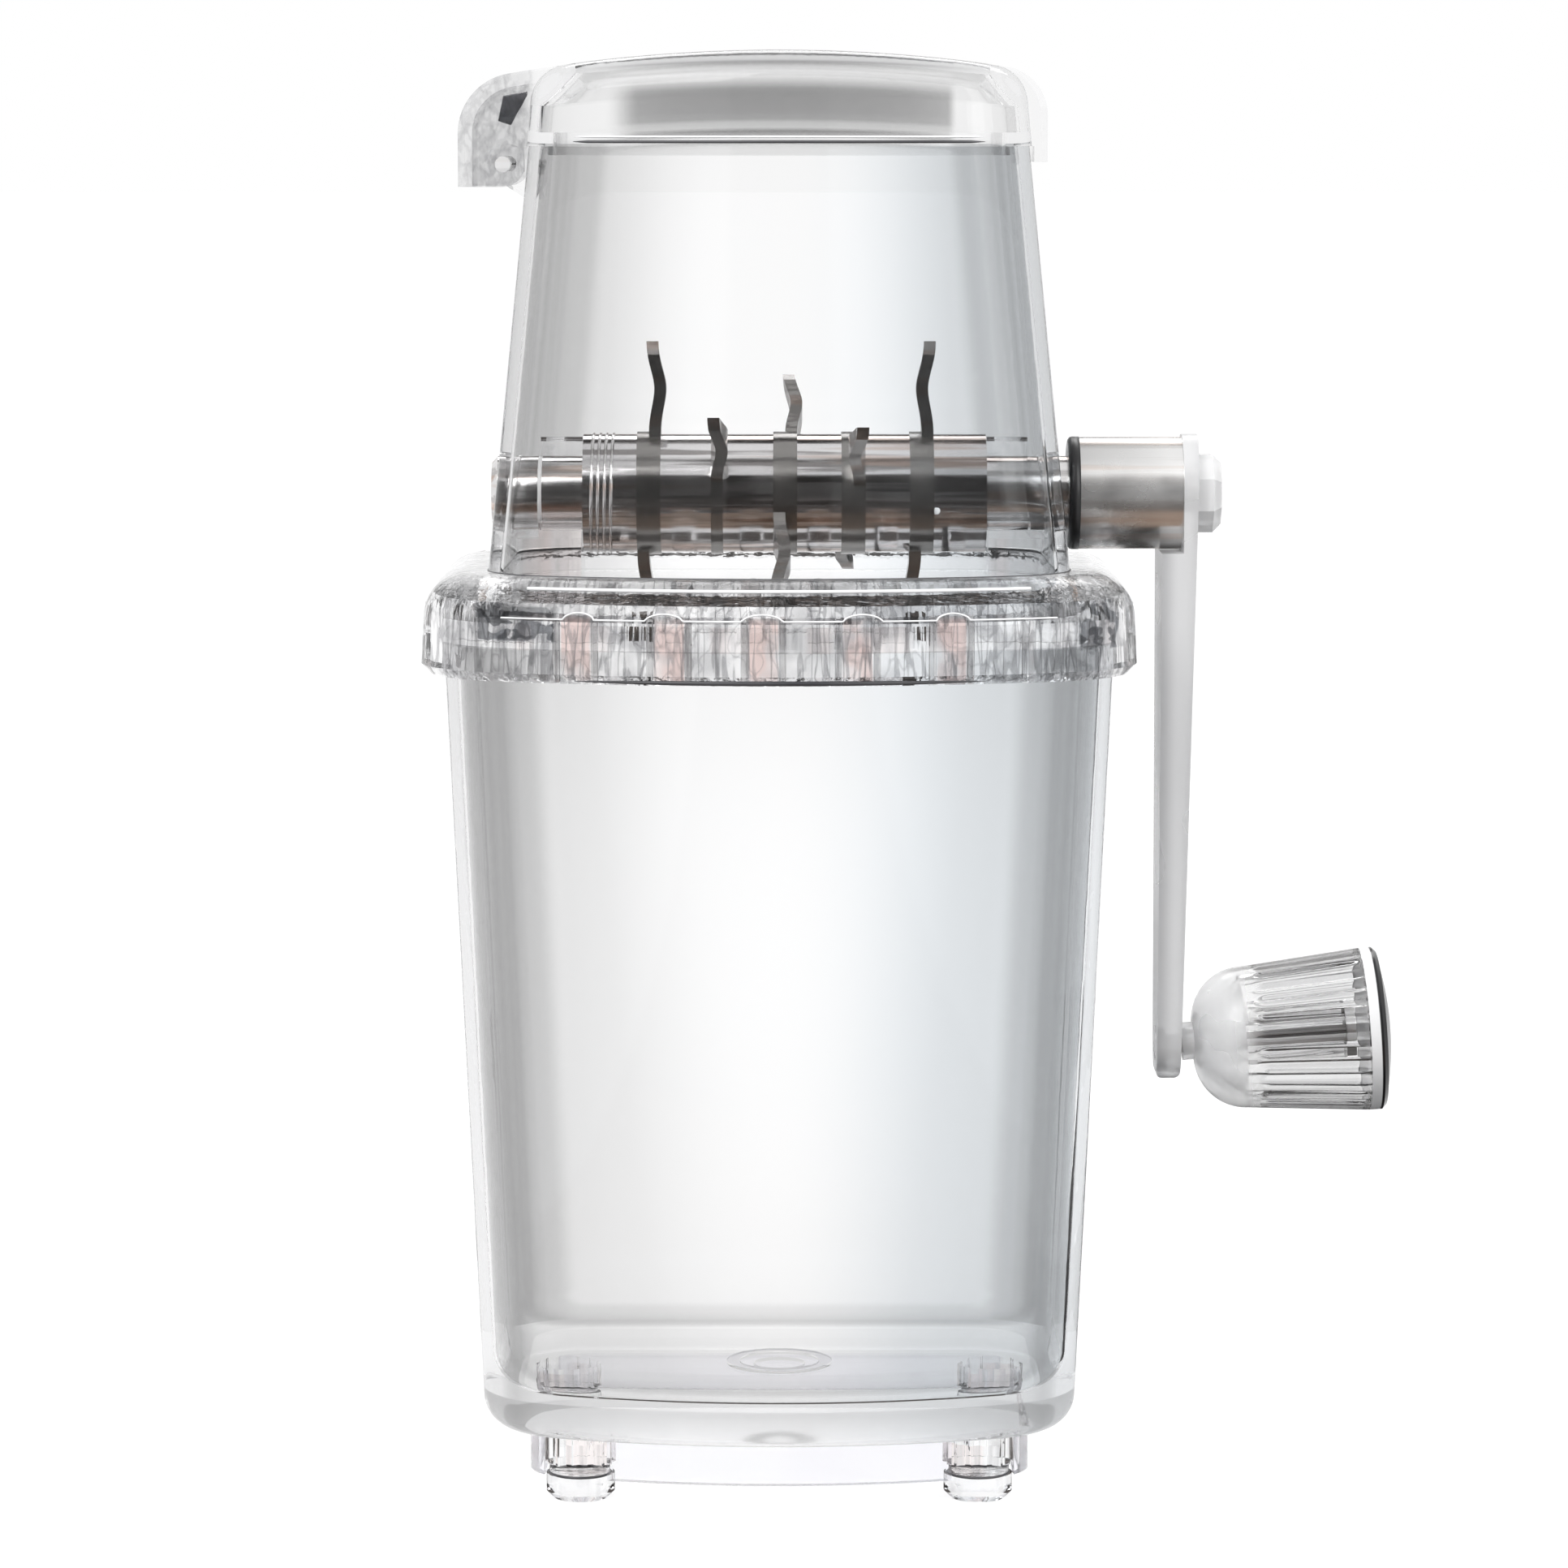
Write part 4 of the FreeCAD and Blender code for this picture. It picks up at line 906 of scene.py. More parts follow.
@dataclass(frozen=True)
class Steel:
    """Bright metal with machining marks and warm stains.

    Args:
        light: Colour of the polished highs.
        dark: Colour of the lows.
        warm: Colour of the warm stains.
        roughness: Roughness of the face.
        marks: Scale of the marks along each axis, in marks to the metre.
        mark_depth: Depth of the marks in metres.
        dark_share: Share of the dark colour in its marks.
        warm_share: Share of the warm colour in its stains.
        along: Lightness along X, as positions in metres and values, which paints shade along the part.
        ring: Height of an axis along X and the radius round it within which the metal is bright, or nothing.
        ring_light: Colour within that radius.
        mark_band: Values of the marks' noise between which the dark colour comes in.
        stain_band: The same of the stains and the warm colour.
    """

    light: Colour = (0.74, 0.73, 0.73)
    dark: Colour = (0.26, 0.245, 0.235)
    warm: Colour = (0.50, 0.33, 0.24)
    roughness: float = 0.10
    marks: Point = (20.0, 620.0, 620.0)
    mark_depth: float = 0.000004
    dark_share: float = 0.5
    warm_share: float = 0.45
    along: Stops = ()
    ring: tuple[float, ...] = ()
    ring_light: Colour = (0.33, 0.32, 0.31)
    mark_band: tuple[float, float] = (0.48, 0.60)
    stain_band: tuple[float, float] = (0.54, 0.62)

    def material(self, name: str) -> bpy.types.Material:
        """Builds the material."""
        coat = Coat(name)
        stain = coat.noise(110.0, 3.0)
        grain = coat.noise(1.0, 3.0, coat.stretched(self.marks))
        heat = coat.noise(1.0, 1.0, coat.stretched(tuple(mark * 0.6 for mark in self.marks)))
        tint = coat.mixed(coat.spread(grain, *self.mark_band, 0.0, self.dark_share), self.light, self.dark)
        tint = coat.mixed(coat.spread(heat, *self.stain_band, 0.0, self.warm_share), tint, self.warm)
        if self.ring:
            axis, radius = self.ring
            side, over = coat.axis("Y"), coat.axis("Z") - axis
            outside = (side * side + over * over).over(radius ** 2)
            tint = coat.mixed(outside, coat.mixed(grain * 0.5, self.ring_light, self.dark), tint)
        if self.along:
            start, end = self.along[0][0], self.along[-1][0]
            stops = tuple(((place - start) / (end - start), light) for place, light in self.along)
            run = coat.spread(coat.axis("X"), start, end, 0.0, 1.0, "LINEAR")
            tint = coat.mixed(1.0, tint, coat.ramp(run, greys(stops), "LINEAR"), "MULTIPLY")
        coat.surface({
            "Base Color": tint,
            "Metallic": 1.0,
            "Roughness": coat.spread(stain + grain * 0.4, 0.4, 0.9, self.roughness, self.roughness + 0.10),
            "Normal": coat.bump(grain, self.mark_depth),
        })
        return coat.material


@dataclass(frozen=True)
class SolidPlastic:
    """Opaque or nearly opaque plastic or rubber.

    Args:
        face: Main colour.
        shade: Colour of its cloudy variation.
        roughness: Roughness of the face.
        through: Share of light that passes.
        index: Refractive index.
        joints: Heights of the level faces that lie against another clear part.
    """

    face: Colour
    shade: Colour
    roughness: float = 0.3
    through: float = 0.0
    index: float = 1.45
    joints: tuple[float, ...] = ()

    def material(self, name: str) -> bpy.types.Material:
        """Builds the material."""
        coat = Coat(name)
        cloud = coat.noise(45.0)
        coat.surface({
            "Base Color": coat.mixed(coat.varied(cloud, 0.0, 1.0), self.face, self.shade),
            "Roughness": coat.varied(cloud, self.roughness, self.roughness + 0.08),
            "IOR": self.index,
            "Transmission Weight": self.through,
            "Normal": coat.bump(coat.noise(700.0), 0.00002),
        }, joint=coat.joints(self.joints))
        return coat.material


@dataclass(frozen=True)
class TwoTone:
    """Moulded plastic that is white up to a line across its axis and black from there on.

    Args:
        split: How far from the pivot the black starts, in metres.
        pivot: Point on the axis.
        lean: Angle of the axis over the X axis, in radians.
        near: Colour before the line.
        far: Colour after it.
        cloudy: Colour of the cloudy variation before it.
        soft: Half the width of the line's soft edge, in metres.
    """

    split: float = 0.0332
    pivot: Point = KNOB_PIVOT
    lean: float = KNOB_LEAN
    near: Colour = (0.80, 0.80, 0.805)
    far: Colour = (0.006, 0.006, 0.007)
    cloudy: Colour = (0.60, 0.60, 0.61)
    soft: float = 0.0001

    def material(self, name: str) -> bpy.types.Material:
        """Builds the material."""
        coat = Coat(name)
        along, _, _ = coat.about(self.pivot, self.lean)
        cloud = coat.noise(45.0)
        white = coat.mixed(cloud * 0.3, self.near, self.cloudy)
        beyond = coat.spread(along, self.split - self.soft, self.split + self.soft, 0.0, 1.0)
        coat.surface({
            "Base Color": coat.mixed(beyond, white, self.far),
            "Roughness": coat.varied(cloud, 0.18, 0.26),
            "IOR": 1.45,
            "Normal": coat.bump(coat.noise(700.0), 0.00001),
        })
        return coat.material


# painted shade of the hopper's wall, with a light band, by how far it turns away from the eye
HOPPER_SLANT: Stops = (
    (0.0, 0.985), (0.010, 0.985), (0.02, 0.92), (0.03, 0.84), (0.045, 0.74), (0.08, 0.73), (0.18, 0.71),
    (0.24, 0.60), (0.32, 0.63), (0.42, 0.86), (0.55, 0.72), (0.75, 0.60), (0.92, 0.42), (1.0, 0.2),
)
# painted shade along the hub: nearly black at its left end, lighter towards the crank
HUB_SHADE_RUN: Stops = (
    (0.0484, 0.02), (0.0497, 0.03), (0.0501, 0.80), (0.0520, 0.84), (0.0580, 0.94), (0.0620, 1.05),
    (0.0650, 1.15),
)


class Look(Enum):
    """Every finish by name. The slots' own come first, then those of single pieces."""

    CLEAR = Crystal()
    TINTED = SolidPlastic((0.975, 0.975, 0.99), (0.95, 0.945, 0.98), 0.12, 0.92, 1.05, joints=(0.0109,))
    FROSTED = FrostedPlastic((0.88, 0.88, 0.885), (0.48, 0.48, 0.49), 0.4, 0.3, (0.0640, 0.0668))
    PAD = Crystal((0.60, 0.60, 0.61), (0.95, 0.95, 0.96), 0.4, marks=(420.0, 420.0, 90.0), index=1.2,
                  density=6.0, joints=(0.0, 0.0042))
    BLACK = SolidPlastic((0.004, 0.004, 0.005), (0.008, 0.008, 0.009), 0.35)
    POLISHED = Steel()
    BLADE = Steel((0.27, 0.26, 0.255), (0.08, 0.075, 0.07), (0.20, 0.14, 0.11), 0.14, (120.0, 120.0, 900.0),
                  ring=(0.1665, 0.0119))
    SATIN = Steel((0.72, 0.715, 0.71), (0.60, 0.58, 0.565), (0.66, 0.56, 0.50), 0.19, along=HUB_SHADE_RUN)
    WALL = ThinWall()
    HOPPER_WALL = ThinWall(HOPPER_SLANT, floor=0.0, index=1.045)
    LID_WALL = ShadedLid()
    COLLAR = ArchedCrystal()
    COMB = Crystal(share=0.5, relief=0.0002, index=1.30, joints=(0.1435, 0.1477))
    BEARING = Crystal(share=0.25, index=1.08, relief=0.0, sides=0.0452)
    FOOT = Crystal(share=0.5, high=0.0098, index=1.22, relief=0.0003, joints=(0.0109,))
    SLEEVE = Steel((0.72, 0.71, 0.715), (0.16, 0.145, 0.14), (0.46, 0.32, 0.25), 0.06, dark_share=0.75)
    PIN = Steel((0.82, 0.82, 0.825), (0.62, 0.62, 0.625), (0.74, 0.72, 0.71), 0.5)
    KNOB = RibbedBell()
    KNOB_END = TwoTone()
    NUT = FrostedPlastic((0.985, 0.985, 0.99), (0.80, 0.80, 0.81), 0.35, 0.12)
    SMOKED = SolidPlastic((0.06, 0.065, 0.07), (0.16, 0.16, 0.17), 0.1)
    # white plastic for small white parts, and for the tubes that paint highlight lines
    WHITE_BEAD = SolidPlastic((0.96, 0.96, 0.965), (0.90, 0.90, 0.905), 0.15)
    # dark plastic for seams and dark rings, and for the tubes that paint shadow lines
    SEAM = SolidPlastic((0.045, 0.045, 0.05), (0.09, 0.09, 0.095), 0.3)

    @property
    def label(self) -> str:
        """Name of its material."""
        return self.name.lower()


SLOT_LOOKS = {
    Slot.CLEAR: Look.CLEAR,
    Slot.TINTED: Look.TINTED,
    Slot.FROSTED: Look.FROSTED,
    Slot.PAD: Look.PAD,
    Slot.BLACK: Look.BLACK,
    Slot.POLISHED: Look.POLISHED,
    Slot.BLADE: Look.BLADE,
    Slot.SATIN: Look.SATIN,
}
NODE_LOOKS = {
    "container": Look.WALL,
    "hopper": Look.HOPPER_WALL,
    "lid": Look.LID_WALL,
    "collar": Look.COLLAR,
    "comb": Look.COMB,
    "knob_body": Look.KNOB,
    "knob_ring": Look.KNOB_END,
    "knob_cap": Look.KNOB_END,
    "knob_pin": Look.PIN,
    "hinge_pin": Look.PIN,
    "crank_nut": Look.NUT,
    "bearing_left": Look.BEARING,
    "bearing_right": Look.BEARING,
}
FOOT_PREFIX = "foot"
SLEEVE_PREFIX = "spacer"


@dataclass
class Wardrobe:
    """Makes each finish once and puts it on solids and pieces.

    Args:
        made: Materials made so far.
    """

    frame: dict[str, Any]
    made: dict[Look, bpy.types.Material] = field(default_factory=dict)

    def finish(self, look: Look) -> bpy.types.Material:
        """The material of a look."""
        if look not in self.made:
            self.made[look] = look.value.material(look.label)
        return self.made[look]

    def look_of(self, node: str, slot: Slot) -> Look:
        """The look of a CAD node."""
        if node.startswith(SLEEVE_PREFIX):
            return Look.SLEEVE
        if node.startswith(FOOT_PREFIX):
            return Look.FOOT
        return NODE_LOOKS.get(node, SLOT_LOOKS[slot])

    def dress(self) -> None:
        """Puts every solid in its finish."""
        for part in self.frame["record"]["subparts"]:
            look = self.look_of(part["node"], Slot(part["material_slot"]))
            mesh = self.frame["nodes"][part["node"]].data
            mesh.materials.clear()
            mesh.materials.append(self.finish(look))
            LOG.info("%s is in %s", part["node"], look.label)


# ---------------------------------------------------------------- pieces


@dataclass
class Workshop:
    """Turns meshes into pieces that ride on a body.

    Args:
        wardrobe: Where the finishes come from.
        trees: Search trees made so far.
    """

    wardrobe: Wardrobe
    frame: dict[str, Any]
    trees: dict[str, BVHTree] = field(default_factory=dict)

    def tree(self, node: str) -> BVHTree:
        """Search tree of a node's faces, made once."""
        if node not in self.trees:
            source = self.frame["nodes"][node].data
            self.trees[node] = BVHTree.FromPolygons([vertex.co for vertex in source.vertices],
                                                    [tuple(face.vertices) for face in source.polygons])
        return self.trees[node]

    def piece(self, name: str, mesh: bpy.types.Mesh, body: Body, slot: Slot, look: Look,
              smooth: bool = True) -> bpy.types.Object:
        """Adds a piece.

        Args:
            name: Its name.
            mesh: Its mesh, in place.
            body: Body that it rides on.
            slot: Record slot of its finish.
            look: Its finish.
            smooth: Whether its faces are shaded smooth.

        Returns:
            The piece.
        """
        mesh.name = name
        mesh.materials.clear()
        mesh.materials.append(self.wardrobe.finish(look))
        mesh.polygons.foreach_set("use_smooth", [smooth] * len(mesh.polygons))
        made = bpy.data.objects.new(name, mesh)
        bpy.context.scene.collection.objects.link(made)
        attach(made, body.value)
        LOG.info("%s rides on %s", name, body.value)
        return made

    def outline(self, node: str, height: float, angles: Iterable[float], inner: bool) -> list[Vector]:
        """Points where level rays from a node's middle meet its wall.

        Args:
            node: The CAD node.
            height: Height of the rays.
            angles: Their directions, in radians from +X.
            inner: True for the wall's inside, False for its outside.

        Returns:
            One point to each ray.
        """
        points = []
        for angle in angles:
            way = Vector((math.cos(angle), math.sin(angle), 0.0))
            centre = Vector((0.0, 0.0, height))
            start = centre if inner else centre + way
            hit, _, _, _ = self.tree(node).ray_cast(start, way if inner else -way)
            points.append(hit)
        return [point for point in points if point is not None]


def tube(points: list[Vector], radii: list[float], closed: bool = False, sides: int = 10) -> bpy.types.Mesh:
    """Mesh tube along level or gently rising points.

    Args:
        points: Its middle line.
        radii: Its radius at each point.
        closed: Whether it runs back into its start.
        sides: Number of faces round it.

    Returns:
        The mesh.
    """
    build = bmesh.new()
    rings = []
    count = len(points)
    for index, point in enumerate(points):
        ahead = points[(index + 1) % count] if closed else points[min(index + 1, count - 1)]
        behind = points[index - 1] if closed else points[max(index - 1, 0)]
        along = (ahead - behind).normalized()
        across = along.cross(Vector((0.0, 0.0, 1.0))).normalized()
        upward = across.cross(along)
        ring = []
        for step in range(sides):
            turn = math.tau * step / sides
            out = across * math.cos(turn) + upward * math.sin(turn)
            ring.append(build.verts.new(point + out * radii[index]))
        rings.append(ring)
    spans = list(zip(rings, rings[1:] + rings[:1] if closed else rings[1:]))
    for first, second in spans:
        for step in range(sides):
            after = (step + 1) % sides
            build.faces.new((first[step], first[after], second[after], second[step]))
    if not closed:
        build.faces.new(rings[0])
        build.faces.new(list(reversed(rings[-1])))
    return finished(build)


def finished(build: bmesh.types.BMesh) -> bpy.types.Mesh:
    """Turns a bmesh into a mesh with outward normals."""
    bmesh.ops.recalc_face_normals(build, faces=build.faces)
    mesh = bpy.data.meshes.new("piece")
    build.to_mesh(mesh)
    build.free()
    return mesh


def turned(profile: list[tuple[float, float]], axis_height: float, steps: int = 96) -> bpy.types.Mesh:
    """Closed profile turned about a line along X.

    Args:
        profile: Points (x, radius) in metres, round the section.
        axis_height: Height of the line.
        steps: Number of faces round it.

    Returns:
        The mesh.
    """
    build = bmesh.new()
    rings = []
    for step in range(steps):
        turn = math.tau * step / steps
        rings.append([build.verts.new((x, radius * math.cos(turn), axis_height + radius * math.sin(turn)))
                      for x, radius in profile])
    for first, second in zip(rings, rings[1:] + rings[:1]):
        for index in range(len(profile)):
            after = (index + 1) % len(profile)
            build.faces.new((first[index], first[after], second[after], second[index]))
    bmesh.ops.remove_doubles(build, verts=build.verts, dist=1e-7)
    return finished(build)


def plate(corners: list[tuple[float, float]], y_low: float, y_high: float, bevel: float) -> bpy.types.Mesh:
    """Flat plate in the XZ plane with bevelled edges.

    Args:
        corners: Points (x, z) round its outline.
        y_low: Its front.
        y_high: Its back.
        bevel: Width of its bevels.

    Returns:
        The mesh.
    """
    build = bmesh.new()
    front = [build.verts.new((x, y_low, z)) for x, z in corners]
    back = [build.verts.new((x, y_high, z)) for x, z in corners]
    build.faces.new(front)
    build.faces.new(list(reversed(back)))
    for index in range(len(corners)):
        after = (index + 1) % len(corners)
        build.faces.new((front[index], back[index], back[after], front[after]))
    bmesh.ops.bevel(build, geom=list(build.edges), offset=bevel, segments=2, affect="EDGES", profile=0.6)
    return finished(build)


class Recipe(Tree):
    """Geometry node group that makes a mesh from named sizes."""

    def __init__(self, name: str, sizes: dict[str, float]) -> None:
        """Starts a group with one input for each size.

        Args:
            name: Name of the group.
            sizes: The sizes by name.
        """
        self.group = bpy.data.node_groups.new(name, "GeometryNodeTree")
        super().__init__(self.group)
        self.group.interface.new_socket("Geometry", in_out="OUTPUT", socket_type="NodeSocketGeometry")
        self.sizes = sizes
        for size, value in sizes.items():
            socket = self.group.interface.new_socket(size, in_out="INPUT", socket_type="NodeSocketFloat")
            socket.default_value = value
        self.entry = self.node("NodeGroupInput")

    def size(self, name: str) -> Value:
        """The input of one size."""
        return Value(self, self.entry.outputs[name])

    def place(self, x: Any, y: Any, z: Any) -> bpy.types.NodeSocket:
        """A vector from three numbers."""
        return self.node("ShaderNodeCombineXYZ", None, {0: x, 1: y, 2: z}).outputs[0]

    def cook(self, geometry: bpy.types.NodeSocket, material: bpy.types.Material) -> bpy.types.Mesh:
        """Runs the group on an empty mesh.

        Args:
            geometry: What the group makes.
            material: Finish of the result.

        Returns:
            The result as a plain mesh.
        """
        real = self.node("GeometryNodeRealizeInstances", None, {"Geometry": geometry})
        dressed = self.node("GeometryNodeSetMaterial", None, {
            "Geometry": real.outputs["Geometry"], "Material": material,
        })
        self.node("NodeGroupOutput", None, {"Geometry": dressed.outputs["Geometry"]})
        holder = bpy.data.objects.new(self.group.name, bpy.data.meshes.new(self.group.name))
        bpy.context.scene.collection.objects.link(holder)
        modifier = holder.modifiers.new("recipe", "NODES")
        modifier.node_group = self.group
        for item in self.group.interface.items_tree:
            if item.in_out == "INPUT" and item.name in self.sizes:
                modifier[item.identifier] = self.sizes[item.name]
        graph = bpy.context.evaluated_depsgraph_get()
        mesh = bpy.data.meshes.new_from_object(holder.evaluated_get(graph))
        holder.modifiers.remove(modifier)
        bpy.data.objects.remove(holder)
        return mesh


@dataclass(frozen=True)
class RotorTrim:
    """Small turned details on the shaft and the crank's hub. Sizes in millimetres.

    Args:
        axis: Height of the shaft's axis.
        ring: Middle, width and radius of the thin ring on the shaft's left stub.
        shaft: Radius of the shaft.
        sunk: How far the ring's inner edge lies in the shaft.
        thread: Start, length, radius, wire radius and turns of the thread under the left sleeve.
        cuff: Start, end and radius of the dark cuff at the hub's left edge.
        screw: X, height over the axis and radius of the screw's head on the right sleeve.
        sleeve: Radius of the sleeve.
        flat: Height of the head to its radius.
    """

    axis: float = 166.5
    ring: tuple[float, float, float] = (-40.2, 0.35, 6.26)
    shaft: float = 6.2
    sunk: float = 0.3
    thread: tuple[float, float, float, float, float] = (-31.6, 4.4, 9.85, 0.3, 4.0)
    cuff: tuple[float, float, float] = (48.45, 50.3, 9.47)
    screw: tuple[float, float, float] = (26.2, -2.4, 0.62)
    sleeve: float = 9.9
    flat: float = 0.5

    def build(self, shop: Workshop) -> None:
        """Adds the pieces."""
        height = self.axis * MILLIMETRE
        middle, width, radius = self.ring
        foot = self.shaft - self.sunk
        ring = [
            (middle - width, foot), (middle - width, self.shaft), (middle - width / 2, radius),
            (middle + width / 2, radius), (middle + width, self.shaft), (middle + width, foot),
        ]
        self.add(shop, "shaft_ring", ring, height, Slot.POLISHED, Look.WHITE_BEAD)
        start, end, radius = self.cuff
        cuff = [
            (start, radius - 1.0), (start + 0.05, radius - 0.5), (start + 0.3, radius - 0.12),
            (start + 0.7, radius), (end, radius), (end, radius - 0.6), (start + 0.6, radius - 1.0),
        ]
        self.add(shop, "hub_cuff", cuff, height, Slot.BLACK, Look.BLACK)
        self.add_thread(shop, height)
        self.add_screw(shop, height)

    def add(self, shop: Workshop, name: str, profile: list[tuple[float, float]], height: float, slot: Slot,
            look: Look) -> None:
        """Adds one turned piece."""
        metres = [(x * MILLIMETRE, radius * MILLIMETRE) for x, radius in profile]
        shop.piece(name, turned(metres, height), Body.ROTOR, slot, look)

    def add_thread(self, shop: Workshop, height: float) -> None:
        """Adds the thread as a wire spiral along X."""
        start, length, radius, wire, turns = self.thread
        recipe = Recipe("thread_turns", {
            "Start": start * MILLIMETRE, "Length": length * MILLIMETRE, "Radius": radius * MILLIMETRE,
            "Wire": wire * MILLIMETRE, "Turns": turns, "Height": height,
        })
        spiral = recipe.node("GeometryNodeCurveSpiral", None, {
            "Resolution": 48, "Rotations": recipe.size("Turns"), "Start Radius": recipe.size("Radius"),
            "End Radius": recipe.size("Radius"), "Height": recipe.size("Length"),
        })
        wire_round = recipe.node("GeometryNodeCurvePrimitiveCircle", None, {
            "Resolution": 8, "Radius": recipe.size("Wire"),
        })
        swept = recipe.node("GeometryNodeCurveToMesh", None, {
            "Curve": spiral.outputs["Curve"], "Profile Curve": wire_round.outputs["Curve"], "Fill Caps": True,
        })
        laid = recipe.node("GeometryNodeTransform", None, {
            "Geometry": swept.outputs["Mesh"], "Rotation": (0.0, math.pi / 2, 0.0),
            "Translation": recipe.place(recipe.size("Start"), 0.0, recipe.size("Height")),
        })
        mesh = recipe.cook(laid.outputs["Geometry"], shop.wardrobe.finish(Look.POLISHED))
        shop.piece("thread_turns", mesh, Body.ROTOR, Slot.POLISHED, Look.POLISHED)

    def add_screw(self, shop: Workshop, height: float) -> None:
        """Adds the screw's round head on the right sleeve's front."""
        x, drop, radius = (value * MILLIMETRE for value in self.screw)
        reach = self.sleeve * MILLIMETRE
        front = -math.sqrt(reach ** 2 - drop ** 2)
        build = bmesh.new()
        bmesh.ops.create_uvsphere(build, u_segments=20, v_segments=12, radius=radius)
        for vertex in build.verts:
            vertex.co.y *= self.flat
            vertex.co += Vector((x, front, height + drop))
        shop.piece("sleeve_screw", finished(build), Body.ROTOR, Slot.POLISHED, Look.WHITE_BEAD)


@dataclass(frozen=True)
class CollarTrim:
    """Painted highlight lines round the collar's front and shoulder, a seam and a painted shadow line.
    Millimetres.

    Args:
        highlight_height: Height of the painted highlight line's straight runs, a white tube.
        highlight_gap: How far the tube's middle is sunk in the collar's wall.
        highlight_radius: Its radius.
        highlight_half: Half its length along X, at the front's distance.
        arches: Middles of its arches along X.
        arch_half: Half the width of an arch.
        arch_rise: How far an arch rises.
        glint: Height, radius and depth of the white tube that paints a highlight round the collar's shoulder.
        glint_half: Half its length along X, at the front's distance.
        seam_height: Height of the seam round the hopper's foot.
        seam_radius: Its radius.
        line_height: Height of the painted shadow line under the collar's foot.
        line_half: Half its length along X.
        line_radius: Its radius in the middle.
        line_tip: Its radius at the ends.
        line_out: How far it stands out in front.
        front: Distance of the collar's front from the middle.
    """

    highlight_height: float = 148.9
    highlight_gap: float = -0.13
    highlight_radius: float = 0.15
    highlight_half: float = 50.0
    arches: tuple[float, ...] = (-32.7, -17.6, -2.5, 12.6, 27.7)
    arch_half: float = 3.0
    arch_rise: float = 1.1
    glint: tuple[float, float, float] = (153.5, 0.3, -0.2)
    glint_half: float = 47.0
    seam_height: float = 154.85
    seam_radius: float = 0.2
    line_height: float = 138.95
    line_half: float = 34.0
    line_radius: float = 0.42
    line_tip: float = 0.02
    line_out: float = 0.2
    front: float = 45.0

    def angles(self, half: float, steps: int) -> list[float]:
        """Directions of points spread evenly in X over the front."""
        spread = [-half + 2 * half * step / (steps - 1) for step in range(steps)]
        return [math.atan2(-self.front, x) for x in spread]

    def lift(self, x: float) -> float:
        """How far the bead rises at x."""
        rises = [math.cos(math.pi * (x - arch) / (2 * self.arch_half)) for arch in self.arches
                 if abs(x - arch) < self.arch_half]
        return self.arch_rise * math.sqrt(max(rises, default=0.0))

    def build(self, shop: Workshop) -> None:
        """Adds the pieces."""
        unit = MILLIMETRE
        # a white tube with arches along the collar's front paints its highlight line
        highlight_points = []
        for angle in self.angles(self.highlight_half, 360):
            reach = -self.front / math.tan(angle) if abs(math.cos(angle)) > 1e-9 else 0.0
            level = (self.highlight_height + self.lift(reach)) * unit
            point = shop.outline("collar", level, [angle], False)[0]
            highlight_points.append(point + Vector((-point.x, -point.y, 0.0)).normalized() * self.highlight_gap * unit)
        shop.piece("collar_bead", tube(highlight_points, [self.highlight_radius * unit] * len(highlight_points)), Body.HEAD, Slot.CLEAR,
                   Look.WHITE_BEAD)
        height, radius, sunk = (size * unit for size in self.glint)
        shoulder = [point + Vector((-point.x, -point.y, 0.0)).normalized() * sunk
                    for point in shop.outline("collar", height, self.angles(self.glint_half, 240), False)]
        shop.piece("collar_glint", tube(shoulder, [radius] * len(shoulder)), Body.HEAD, Slot.CLEAR,
                   Look.WHITE_BEAD)
        around = [math.tau * step / 240 for step in range(240)]
        seam = shop.outline("hopper", self.seam_height * unit, around, False)
        shop.piece("hopper_seam", tube(seam, [self.seam_radius * unit] * len(seam), closed=True), Body.HEAD,
                   Slot.CLEAR, Look.SEAM)
        # a dark tube paints the shadow under the collar's foot
        rim = shop.outline("collar", self.line_height * unit, self.angles(self.line_half, 120), False)
        tapers = [1.02 - abs(point.x / (self.line_half * unit)) ** 3 for point in rim]
        radii = [max(self.line_radius * unit * taper, self.line_tip * unit) for taper in tapers]
        line = [point - Vector((0.0, self.line_out * unit, 0.0)) for point in rim]
        shop.piece("rim_line", tube(line, radii), Body.HEAD, Slot.CLEAR, Look.SEAM)


